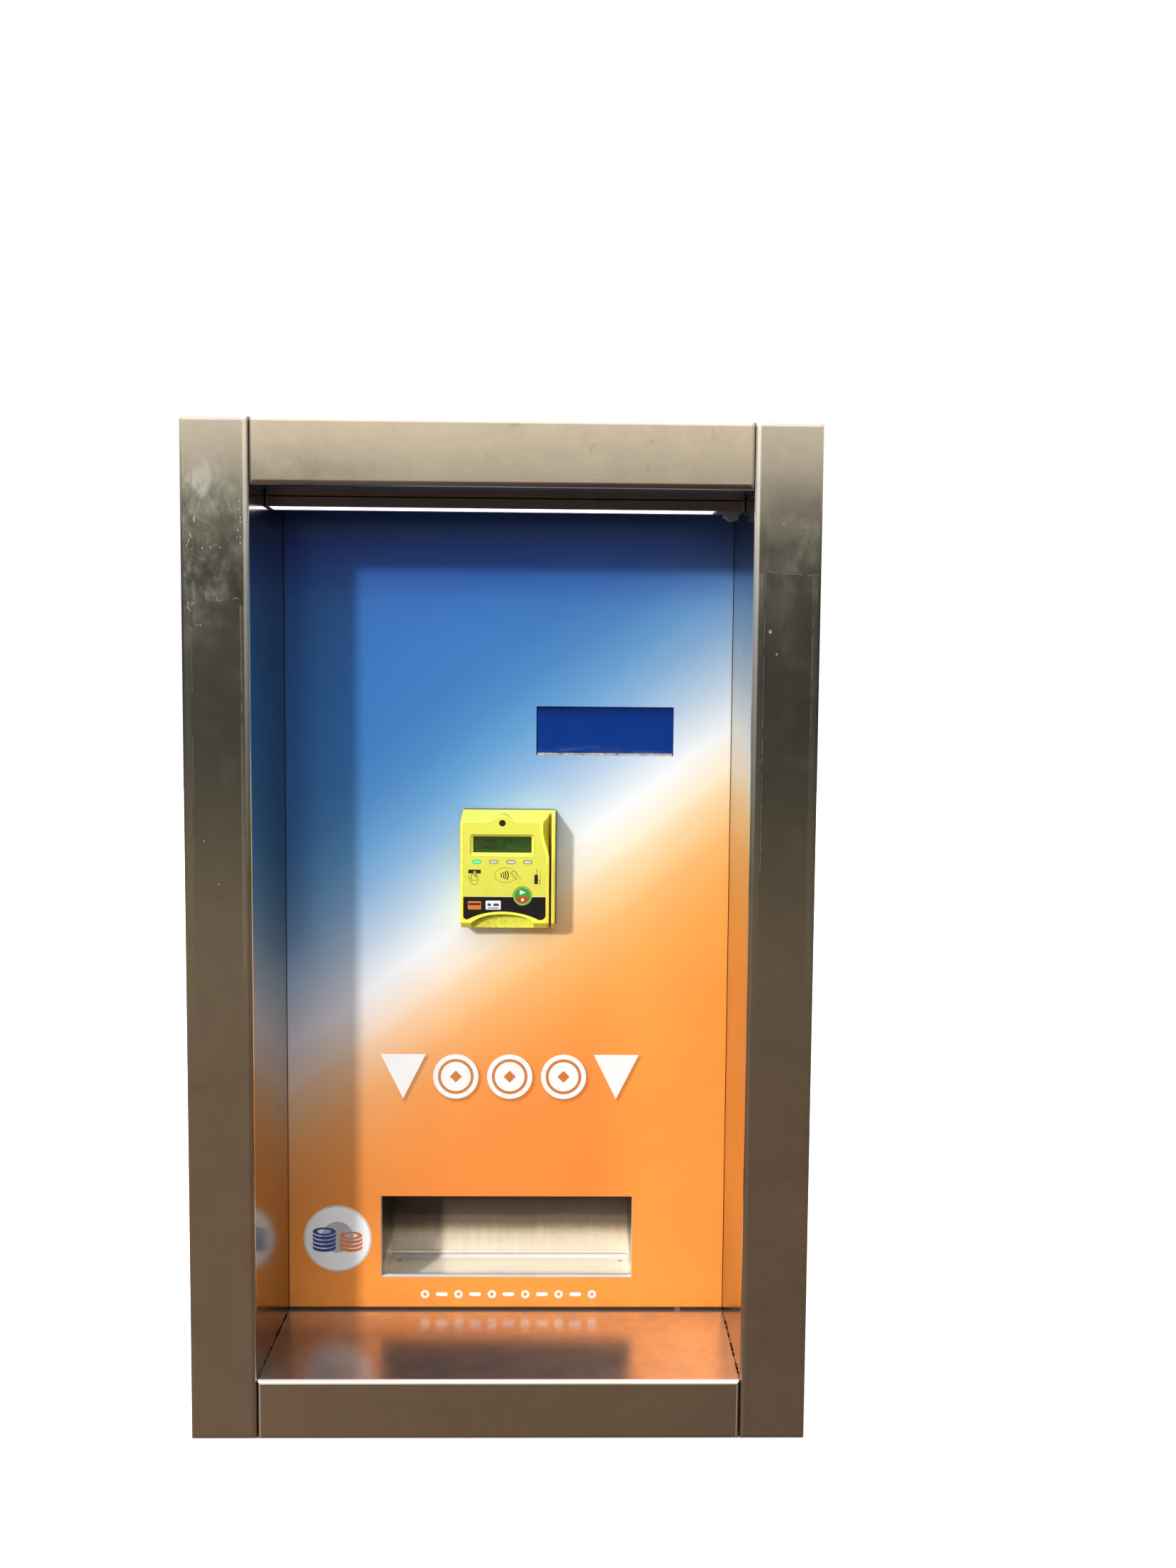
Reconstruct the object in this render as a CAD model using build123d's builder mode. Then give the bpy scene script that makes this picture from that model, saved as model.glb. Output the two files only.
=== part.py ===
"""Wall-built token vending machine: a stainless-steel surround frames a recessed
graphic panel with a display, a payment reader and a token delivery tray.  Behind the
panel a service cabinet holds the token hopper and the electronics.

Frame: X to the right for a user standing in front, +Y into the wall, +Z up.
The plane y = 0 is the face of the wall.  The origin is the centre of the four wall
anchor holes, which is also the centre of the surround.  Units are millimetres.
"""

from build123d import *
import math
import os

os.makedirs("parts", exist_ok=True)

# ----------------------------------------------------------------- driving dimensions
WIDTH = 610.0            # surround, outside
HEIGHT = 1000.0
JAMB_W = 65.0            # width of each upright, seen from the front
HEADER_H = 64.0
SILL_H = 60.0
FRONT_Y = -154.0         # front face of the surround
SHEET = 1.5              # stainless sheet of the surround
BEND = 4.5               # outside radius of the folded edges

PANEL_FRONT = -4.0       # steel face of the graphic panel
PANEL_BACK = -2.0
FILM = 0.2               # printed film on the panel
PANEL_GAP = 1.5          # gap between the panel and the reveals

RING_INNER_X = 250.0     # fixing frame that is anchored to the wall
RING_LEG = 4.0
ANCHOR_X = 289.0
ANCHOR_Z = 470.0
ANCHOR_R = 4.5

CAB_W = 450.0            # service cabinet behind the wall
CAB_Z0 = 58.0
CAB_Z1 = 925.0
CAB_DEPTH = 298.5
CAB_T = 1.5

TRAY_W = 277.0           # delivery opening
TRAY_Z0 = 96.3
TRAY_Z1 = 188.3
TRAY_FLOOR = 72.0
TRAY_BACK = 105.0

DISP_X0, DISP_X1 = 29.8, 177.6
DISP_Z0, DISP_Z1 = 675.8, 728.4

READER_FRONT = -42.2     # front face of the payment reader
READER_X0, READER_X1 = -49.0, 51.5
SLOT_X0, SLOT_X1 = 44.9, 47.3
LED_PITCH_X = (-31.4, -13.5, 4.6, 22.4)
LED_Z = 564.6
BUTTON_X, BUTTON_Z, BUTTON_R = 17.0, 528.6, 9.6
SENSOR_X, SENSOR_Z = -4.5, 605.6

HINGE_X, HINGE_Y = -228.0, 304.0
DOOR_Y = 301.5           # inner face of the door plate
LOCK_X, LOCK_Z = 190.0, 500.0

HOPPER_Y = 180.0         # axis of the hopper disc
SHELF_Z = 302.0

BASE = -HEIGHT / 2       # Z of the bottom edge of the surround


def up(height):
    """Z of a height measured from the bottom edge of the surround."""
    return BASE + height


def front_plane(y):
    """A sketch plane facing the user at the given depth; extruding goes to the user."""
    return Plane.XZ.offset(-y)


def block(x, y, z, mode=Mode.ADD):
    """A rectangular block; z is given in heights from the bottom edge."""
    with Locations(((x[0] + x[1]) / 2, (y[0] + y[1]) / 2, up((z[0] + z[1]) / 2))):
        return Box(x[1] - x[0], y[1] - y[0], z[1] - z[0], mode=mode)


def rod_y(x, z, r, y0, y1, mode=Mode.ADD):
    with Locations((x, (y0 + y1) / 2, up(z))):
        return Cylinder(r, y1 - y0, rotation=(90, 0, 0), mode=mode)


def rod_x(y, z, r, x0, x1, mode=Mode.ADD):
    with Locations(((x0 + x1) / 2, y, up(z))):
        return Cylinder(r, x1 - x0, rotation=(0, 90, 0), mode=mode)


def rod_z(x, y, r, z0, z1, mode=Mode.ADD):
    with Locations((x, y, up((z0 + z1) / 2))):
        return Cylinder(r, z1 - z0, mode=mode)


def finish(builder, name):
    builder.part.label = name
    export_step(builder.part, f"parts/{name}.step")

IN_X = WIDTH / 2 - JAMB_W            # 240, inner face of the reveals
HEAD_Z = HEIGHT - HEADER_H           # 936, underside of the header
LAMP_SCREW_X, LAMP_Y = (-200.0, 0.0, 190.0), -72.0
SIDE_SCREW_Z = (100.0, 366.0, 633.0, 900.0)
RING_SCREW_Z = (100.0, 300.0, 500.0, 700.0, 900.0)
STUD_Z = (90.0, 230.0, 370.0, 510.0, 650.0, 790.0, 905.0)
STUD_X = 231.5

# ----------------------------------------------------------------------- the surround
# Upright: a folded tray of sheet, open towards the wall, every front edge rounded.
with BuildPart() as right_jamb:
    block((IN_X, WIDTH / 2), (FRONT_Y, 0), (0, HEIGHT))
    fillet(right_jamb.faces().sort_by(Axis.Y)[0].edges(), radius=BEND)
    offset(amount=-SHEET, openings=right_jamb.faces().sort_by(Axis.Y)[-1])
    # the reveal stops at the panel plane, and higher and lower at the fixing frame
    block((IN_X - 1, IN_X + SHEET), (PANEL_BACK, 1), (SHEET, HEIGHT - SHEET), mode=Mode.SUBTRACT)
    block((IN_X - 1, IN_X + SHEET), (-37.5, 1), (SHEET, 51), mode=Mode.SUBTRACT)
    block((IN_X - 1, IN_X + SHEET), (-37.5, 1), (946, HEIGHT - SHEET), mode=Mode.SUBTRACT)
    # stiffening lip behind the reveal
    block((IN_X, 249.5), (PANEL_BACK - SHEET, PANEL_BACK), (62, 934))
    # countersunk fixing holes in the outer return
    for h in SIDE_SCREW_Z:
        rod_x(-20, h, 2.65, 302, 306, mode=Mode.SUBTRACT)
        with Locations(Location((WIDTH / 2, -20, up(h)), (0, 90, 0))):
            with Locations((0, 0, -0.75)):
                Cone(2.65, 5.1, 1.5, mode=Mode.SUBTRACT)
finish(right_jamb, "right_jamb")

with BuildPart() as left_jamb:
    mirror(right_jamb.part, about=Plane.YZ)
finish(left_jamb, "left_jamb")

END_GAP = 0.4                        # gap between the header or sill and the uprights
with BuildPart() as header:
    block((-IN_X + END_GAP, IN_X - END_GAP), (FRONT_Y, 0), (HEAD_Z, HEIGHT))
    fillet(header.faces().sort_by(Axis.Y)[0].edges(), radius=BEND)
    offset(amount=-SHEET, openings=header.faces().sort_by(Axis.Y)[-1])
    block((-IN_X, IN_X), (PANEL_BACK, 1), (HEAD_Z - 1, HEIGHT - SHEET), mode=Mode.SUBTRACT)
    for s in (-1, 1):
        xs = sorted((s * (IN_X - END_GAP - SHEET), s * IN_X))
        block(xs, (-37.5, 1), (HEAD_Z + SHEET, HEIGHT - SHEET), mode=Mode.SUBTRACT)
    block((-IN_X + 4, IN_X - 4), (PANEL_BACK - SHEET, PANEL_BACK), (HEAD_Z, 945.5))
    for x in LAMP_SCREW_X:           # fixing holes of the lamp
        rod_z(x, LAMP_Y, 2.3, HEAD_Z - 1, HEAD_Z + 3, mode=Mode.SUBTRACT)
    rod_z(228, LAMP_Y, 4.0, HEAD_Z - 1, HEAD_Z + 3, mode=Mode.SUBTRACT)
finish(header, "header")

with BuildPart() as sill:
    block((-IN_X + END_GAP, IN_X - END_GAP), (FRONT_Y, 0), (0, SILL_H))
    fillet(sill.faces().sort_by(Axis.Y)[0].edges(), radius=BEND)
    offset(amount=-SHEET, openings=sill.faces().sort_by(Axis.Y)[-1])
    block((-IN_X, IN_X), (PANEL_BACK, 1), (SHEET, SILL_H + 1), mode=Mode.SUBTRACT)
    for s in (-1, 1):
        xs = sorted((s * (IN_X - END_GAP - SHEET), s * IN_X))
        block(xs, (-37.5, 1), (SHEET, SILL_H - SHEET), mode=Mode.SUBTRACT)
    block((-IN_X + 4, IN_X - 4), (PANEL_BACK - SHEET, PANEL_BACK), (51.5, SILL_H))
finish(sill, "sill")

# Fixing frame: an angle frame whose flat leg takes the wall anchors and whose
# standing leg carries the surround.
RX, RZ = WIDTH / 2 - SHEET, HEIGHT / 2 - SHEET
with BuildPart() as wall_frame:
    block((-RX, RX), (-36, PANEL_BACK), (SHEET, HEIGHT - SHEET))
    block((-RX + 3, RX - 3), (-40, -6), (SHEET + 3, HEIGHT - SHEET - 3), mode=Mode.SUBTRACT)
    block((-RING_INNER_X, RING_INNER_X), (-8, 0), (51, 946), mode=Mode.SUBTRACT)
    for sx in (-1, 1):
        for sz in (-1, 1):
            rod_y(sx * ANCHOR_X, 500 + sz * ANCHOR_Z, ANCHOR_R, -8, 0, mode=Mode.SUBTRACT)
        for h in RING_SCREW_Z:
            rod_y(sx * 262, h, 2.6, -8, 0, mode=Mode.SUBTRACT)
        for h in SIDE_SCREW_Z:
            xs = sorted((sx * 299, sx * 304))
            rod_x(-20, h, 2.65, xs[0], xs[1], mode=Mode.SUBTRACT)
finish(wall_frame, "wall_frame")

with BuildPart() as wall_gasket:
    block((-303, 303), (PANEL_BACK, 0), (2, 998))
    block((-276, 276), (-3, 1), (25, 971), mode=Mode.SUBTRACT)
    for sx in (-1, 1):
        for sz in (-1, 1):
            rod_y(sx * ANCHOR_X, 500 + sz * ANCHOR_Z, ANCHOR_R, -3, 1, mode=Mode.SUBTRACT)
finish(wall_gasket, "wall_gasket")

# Countersunk screws through the outer returns, flush with the sheet
with BuildPart() as surround_screws:
    for s in (-1, 1):
        for h in SIDE_SCREW_Z:
            with Locations(Location((s * WIDTH / 2, -20, up(h)), (0, 90 * s, 0))):
                with Locations((0, 0, -0.775)):
                    Cone(2.5, 4.9, 1.35)
                with Locations((0, 0, -5.7)):
                    Cylinder(2.5, 8.6)
                # hexagon drive
                with Locations((0, 0, -0.6)):
                    Cylinder(1.5, 1.6, mode=Mode.SUBTRACT)
    # button-head screws that hold the cabinet flange to the fixing frame
    for s in (-1, 1):
        for h in RING_SCREW_Z:
            rod_y(s * 262, h, 4.6, -8.8, -6)
            rod_y(s * 262, h, 2.45, -6.5, 0)
            rod_y(s * 262, h, 1.6, -9, -7.4, mode=Mode.SUBTRACT)
    # pan-head screws that hang the lamp under the header
    for x in LAMP_SCREW_X:
        rod_z(x, LAMP_Y, 3.8, 932.2, 934.5)
        rod_z(x, LAMP_Y, 2.0, 934.0, 943)
finish(surround_screws, "surround_screws")

# Button-head screws that hold the cabinet flange to the fixing frame

# --------------------------------------------------------------------- service cabinet
CX = CAB_W / 2
with BuildPart() as cabinet_flange:
    block((-275, 275), (PANEL_BACK, 0), (26, 970))
    block((-CX + CAB_T, CX - CAB_T), (-3, 1), (CAB_Z0 + CAB_T, CAB_Z1 - CAB_T), mode=Mode.SUBTRACT)
    for s in (-1, 1):
        for h in RING_SCREW_Z:
            rod_y(s * 262, h, 2.6, -3, 1, mode=Mode.SUBTRACT)
        for h in STUD_Z:
            rod_y(s * STUD_X, h, 2.3, -3, 1, mode=Mode.SUBTRACT)
finish(cabinet_flange, "cabinet_flange")

with BuildPart() as cabinet_left_wall:
    block((-CX, -CX + CAB_T), (0, CAB_DEPTH), (CAB_Z0, CAB_Z1))
    for z in (560, 800):             # rivets of the electronics plate
        for y in (70, 230):
            rod_x(y, z, 2.1, -CX - 1, -CX + 3, mode=Mode.SUBTRACT)
finish(cabinet_left_wall, "cabinet_left_wall")

with BuildPart() as cabinet_right_wall:
    block((CX - CAB_T, CX), (0, CAB_DEPTH), (CAB_Z0, CAB_Z1))
    for k in range(6):               # ventilation slots
        with Locations((CX - CAB_T / 2, 150, up(770 + 14 * k))):
            Box(4, 90, 4, mode=Mode.SUBTRACT)
finish(cabinet_right_wall, "cabinet_right_wall")

with BuildPart() as cabinet_top:
    block((-CX + CAB_T, CX - CAB_T), (0, CAB_DEPTH), (CAB_Z1 - CAB_T, CAB_Z1))
finish(cabinet_top, "cabinet_top")

GLAND_X, GLAND_Y = 150.0, 230.0
with BuildPart() as cabinet_floor:
    block((-CX + CAB_T, CX - CAB_T), (0, CAB_DEPTH), (CAB_Z0, CAB_Z0 + CAB_T))
    rod_z(GLAND_X, GLAND_Y, 10.1, CAB_Z0 - 1, CAB_Z0 + 3, mode=Mode.SUBTRACT)
finish(cabinet_floor, "cabinet_floor")

with BuildPart() as cabinet_rear_frame:
    block((-CX + CAB_T, CX - CAB_T), (297, CAB_DEPTH), (CAB_Z0 + CAB_T, CAB_Z1 - CAB_T))
    block((-208.5, 208.5), (296, 300), (74.5, 908.5), mode=Mode.SUBTRACT)
finish(cabinet_rear_frame, "cabinet_rear_frame")

# Rear door: plate with a turned-in edge that stiffens it and stands inside the frame
with BuildPart() as rear_door:
    block((-222.5, 222.5), (DOOR_Y, DOOR_Y + 1.5), (61, 922))
    block((-206.5, 206.5), (289, DOOR_Y), (76.5, 906.5))
    block((-205, 205), (288, DOOR_Y), (78, 905), mode=Mode.SUBTRACT)
    block((204, 208), (288, DOOR_Y), (LOCK_Z - 12, LOCK_Z + 33), mode=Mode.SUBTRACT)
    rod_y(LOCK_X, LOCK_Z, 9.0, 300, 304, mode=Mode.SUBTRACT)
    for k in range(8):               # ventilation slots
        with Locations((0, DOOR_Y + 0.75, up(810 + 9 * k))):
            Box(120, 4, 3, mode=Mode.SUBTRACT)
    fillet(rear_door.edges().filter_by(Axis.Y).filter_by(lambda e: e.length < 2 and abs(e.center().X) > 220), radius=5)
finish(rear_door, "rear_door")

with BuildPart() as door_gasket:
    block((-221.5, 221.5), (298.8, DOOR_Y), (62, 921))
    block((-209.5, 209.5), (298, 302), (73.5, 909.5), mode=Mode.SUBTRACT)
finish(door_gasket, "door_gasket")

HINGE_Z = (200.0, 780.0)
KN_R, PIN_R = 4.2, 2.5
with BuildPart() as hinge_leaves_fixed:
    for h in HINGE_Z:
        block((-226.5, -225), (262, 299), (h - 30, h + 30))
        for z0, z1 in ((h - 30, h - 12.5), (h + 12.5, h + 30)):
            block((-226.5, -225), (298, 303), (z0, z1))
            rod_z(HINGE_X, HINGE_Y, KN_R, z0, z1)
            rod_z(HINGE_X, HINGE_Y, PIN_R + 0.05, z0 - 1, z1 + 1, mode=Mode.SUBTRACT)
finish(hinge_leaves_fixed, "hinge_leaves_fixed")

with BuildPart() as hinge_leaves_moving:
    for h in HINGE_Z:
        block((-221, -186), (303, 304.5), (h - 30, h + 30))
        block((-226, -221), (303, 304.5), (h - 12.2, h + 12.2))
        rod_z(HINGE_X, HINGE_Y, KN_R, h - 12.2, h + 12.2)
        rod_z(HINGE_X, HINGE_Y, PIN_R + 0.05, h - 14, h + 14, mode=Mode.SUBTRACT)
        # rivet heads on the leaf
        for dz in (-20, 0, 20):
            rod_y(-200, h + dz, 3.4, 304.5, 305.8)
finish(hinge_leaves_moving, "hinge_leaves_moving")

with BuildPart() as hinge_pins:
    for h in HINGE_Z:
        rod_z(HINGE_X, HINGE_Y, PIN_R, h - 31, h + 31)
        rod_z(HINGE_X, HINGE_Y, 3.6, h + 30, h + 31.5)
        rod_z(HINGE_X, HINGE_Y, 3.6, h - 31.5, h - 30)
finish(hinge_pins, "hinge_pins")

with BuildPart() as lock_barrel:
    rod_y(LOCK_X, LOCK_Z, 11.5, 303, 306)
    rod_y(LOCK_X, LOCK_Z, 8.9, 296.5, 303)
    chamfer(lock_barrel.faces().sort_by(Axis.Y)[-1].edges(), length=0.8)
    rod_y(LOCK_X, LOCK_Z, 6.05, 290, 310, mode=Mode.SUBTRACT)
    # ring nut on the inside of the door
    with BuildSketch(front_plane(301.5)):
        with Locations((LOCK_X, up(LOCK_Z))):
            RegularPolygon(12.0, 6)
            Circle(9.0, mode=Mode.SUBTRACT)
    extrude(amount=4.0)
finish(lock_barrel, "lock_barrel")

with BuildPart() as lock_plug:
    rod_y(LOCK_X, LOCK_Z, 6.0, 295.5, 306.6)
    block((LOCK_X - 0.7, LOCK_X + 0.7), (303.5, 307), (LOCK_Z - 3.2, LOCK_Z + 3.2), mode=Mode.SUBTRACT)
    # cam on the inner end, with its screw
    with BuildSketch(front_plane(295.5)):
        with Locations((LOCK_X, up(LOCK_Z))):
            Circle(8)
            with Locations((0, 14)):
                Rectangle(12, 28)
    extrude(amount=2.0)
    rod_y(LOCK_X, LOCK_Z, 3.6, 291.3, 293.5)
finish(lock_plug, "lock_plug")

# ----------------------------------------------------------------------- front panel
PX = IN_X - PANEL_GAP
PZ0, PZ1 = 62.5, HEAD_Z - PANEL_GAP
READER_STUDS = ((-41.0, 505.0), (38.0, 505.0), (-41.0, 598.0), (31.0, 598.0))
DISPLAY_STUDS = ((20.0, 668.0), (188.0, 668.0), (20.0, 736.0), (188.0, 736.0))
TRAY_STUDS = ((-146.0, 86.0), (146.0, 86.0), (-146.0, 194.0), (146.0, 194.0))


def panel_outline(inset=0.0):
    """Outer shape of the panel with its openings, drawn on the current sketch."""
    with Locations((0, up((PZ0 + PZ1) / 2))):
        Rectangle(2 * (PX - inset), PZ1 - PZ0 - 2 * inset)
    with Locations(((DISP_X0 + DISP_X1) / 2, up((DISP_Z0 + DISP_Z1) / 2))):
        RectangleRounded(DISP_X1 - DISP_X0, DISP_Z1 - DISP_Z0, 1.0, mode=Mode.SUBTRACT)
    with Locations((0, up((TRAY_Z0 + TRAY_Z1) / 2))):
        RectangleRounded(TRAY_W, TRAY_Z1 - TRAY_Z0, 1.2, mode=Mode.SUBTRACT)
    with Locations((0, up(555))):
        RectangleRounded(56, 76, 4, mode=Mode.SUBTRACT)
    for x, z in READER_STUDS:
        with Locations((x, up(z))):
            Circle(2.2, mode=Mode.SUBTRACT)

with BuildPart() as front_panel:
    with BuildSketch(front_plane(PANEL_BACK)):
        panel_outline()
    extrude(amount=PANEL_BACK - PANEL_FRONT)
finish(front_panel, "front_panel")

with BuildPart() as graphic_film:
    with BuildSketch(front_plane(PANEL_FRONT)):
        panel_outline(inset=0.2)
    extrude(amount=FILM)
finish(graphic_film, "graphic_film")

# Row of white cut-film pictograms: token discs between two arrows that point to the tray
ICON_Z, ICON_R = 322.75, 24.75
with BuildPart() as token_icons:
    with BuildSketch(front_plane(PANEL_FRONT - FILM)):
        for x in (-75.0, -16.0, 43.0):
            with Locations((x + 18.7, up(ICON_Z))):
                Circle(ICON_R)
                Circle(ICON_R - 5.2, mode=Mode.SUBTRACT)
                Circle(ICON_R - 8.4)
                Rectangle(9.5, 9.5, rotation=45, mode=Mode.SUBTRACT)
        for x in (-113.9, 119.3):
            with BuildLine():
                Polyline((x - 24.7, up(ICON_Z + 24.7)), (x + 24.7, up(ICON_Z + 24.7)), (x, up(ICON_Z - 24.7)),
                         close=True)
            make_face()
        # small row along the foot of the panel
        for k in range(11):
            with Locations((-90.0 + 18.5 * k, up(77.0))):
                if k % 2:
                    SlotOverall(13, 4.2)
                else:
                    Circle(4.6)
                    Circle(2.1, mode=Mode.SUBTRACT)
    extrude(amount=0.15)
finish(token_icons, "token_icons")

with BuildPart() as sticker:
    with BuildSketch(front_plane(PANEL_FRONT - FILM)):
        with Locations((-186.3, up(140.2))):
            Circle(37.25)
    extrude(amount=0.15)
finish(sticker, "sticker")

# ------------------------------------------------------------------------ lamp bar
LB_X = IN_X - 1.0
with BuildPart() as led_housing:
    with BuildSketch(Plane.YZ.offset(-LB_X + 2.0)):
        with Locations((-72.0, up(931.0))):
            Rectangle(30, 10)
        with Locations((-72.0, up(930.0))):
            Rectangle(27, 9, mode=Mode.SUBTRACT)
    extrude(amount=2 * (LB_X - 2.0))
    fillet(led_housing.edges().filter_by(Axis.X).group_by(Axis.Z)[-1], radius=0.8)
    for x in LAMP_SCREW_X:
        rod_z(x, LAMP_Y, 2.3, 930, 938, mode=Mode.SUBTRACT)
    rod_z(228, LAMP_Y, 4.0, 930, 938, mode=Mode.SUBTRACT)
finish(led_housing, "led_housing")

with BuildPart() as led_end_caps:
    for s in (-1, 1):
        xs = sorted((s * (LB_X - 2.0), s * LB_X))
        block(xs, (-87, -57), (926, 936))
        xs = sorted((s * (LB_X - 8.0), s * (LB_X - 2.0)))
        block(xs, (-85.3, -58.7), (929.2, 934.2))
finish(led_end_caps, "led_end_caps")

with BuildPart() as led_diffuser:
    block((-236.8, 210), (-85.4, -58.6), (926.4, 928.4))
    block((-228, 208), (-85.3, -83.8), (928.4, 930.6))
    block((-228, 208), (-60.2, -58.7), (928.4, 930.6))
finish(led_diffuser, "led_diffuser")

with BuildPart() as led_strip:
    block((-226, 206), (-78, -66), (933.0, 934.4))
    with GridLocations(18.0, 1, 24, 1):
        with Locations((-10, -72, up(932.6))):
            Box(5, 5, 0.8)
    for x in LAMP_SCREW_X:
        rod_z(x, LAMP_Y, 4.2, 930, 936, mode=Mode.SUBTRACT)
finish(led_strip, "led_strip")

# Cable clip at the unlit end of the lamp
with BuildPart() as led_bracket:
    with BuildSketch(Plane.XZ.offset(64)):
        with BuildLine():
            Polyline((219.5, up(926)), (234.0, up(926)), (234.0, up(919.0)), (226.5, up(917.8)),
                     (219.5, up(922.5)), close=True)
        make_face()
    extrude(amount=16)
    block((212.0, 236.8), (-84, -60), (926, 928.5))
    fillet(led_bracket.edges().filter_by(Axis.Y).group_by(Axis.Z)[0], radius=1.0)
finish(led_bracket, "led_bracket")

# -------------------------------------------------------------------------- display
with BuildPart() as display_window:
    block((24, 184), (-1.9, 1.1), (672, 732.4))
    fillet(display_window.edges().filter_by(Axis.Y), radius=3)
finish(display_window, "display_window")

with BuildPart() as silicone_beads:
    # bead in the corner between the window and the lower edge of the opening
    with BuildSketch(Plane.YZ.offset(DISP_X0 + 1.3)):
        with BuildLine():
            Polyline((-3.9, up(DISP_Z0 + 0.05)), (-1.95, up(DISP_Z0 + 0.05)), (-1.95, up(DISP_Z0 + 2.6)),
                     (-2.7, up(DISP_Z0 + 1.6)), close=True)
        make_face()
    extrude(amount=DISP_X1 - DISP_X0 - 2.6)
    # bead along the foot of the panel
    block((-PX, PX), (-6.5, -2.2), (SILL_H + 0.1, PZ0 - 0.1))
finish(silicone_beads, "silicone_beads")

with BuildPart() as display_module:
    block((29, 179), (1.2, 8.5), (674, 730))
    block((34, 174), (8.5, 10.4), (680, 724))
    fillet(display_module.edges().filter_by(Axis.Y), radius=1.5)
finish(display_module, "display_module")

with BuildPart() as display_board:
    block((14, 194), (10.4, 12.0), (661, 743))
    for x, z in DISPLAY_STUDS:
        rod_y(x, z, 2.0, 10, 13, mode=Mode.SUBTRACT)
    block((60, 90), (12.0, 15.0), (690, 715))
    block((110, 150), (12.0, 20.0), (728, 738))
    block((100, 112), (12.0, 14.0), (695, 707))
    rod_y(170, 700, 5.0, 12.0, 24.0)
    rod_y(158, 700, 4.0, 12.0, 20.0)
finish(display_board, "display_board")

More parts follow.
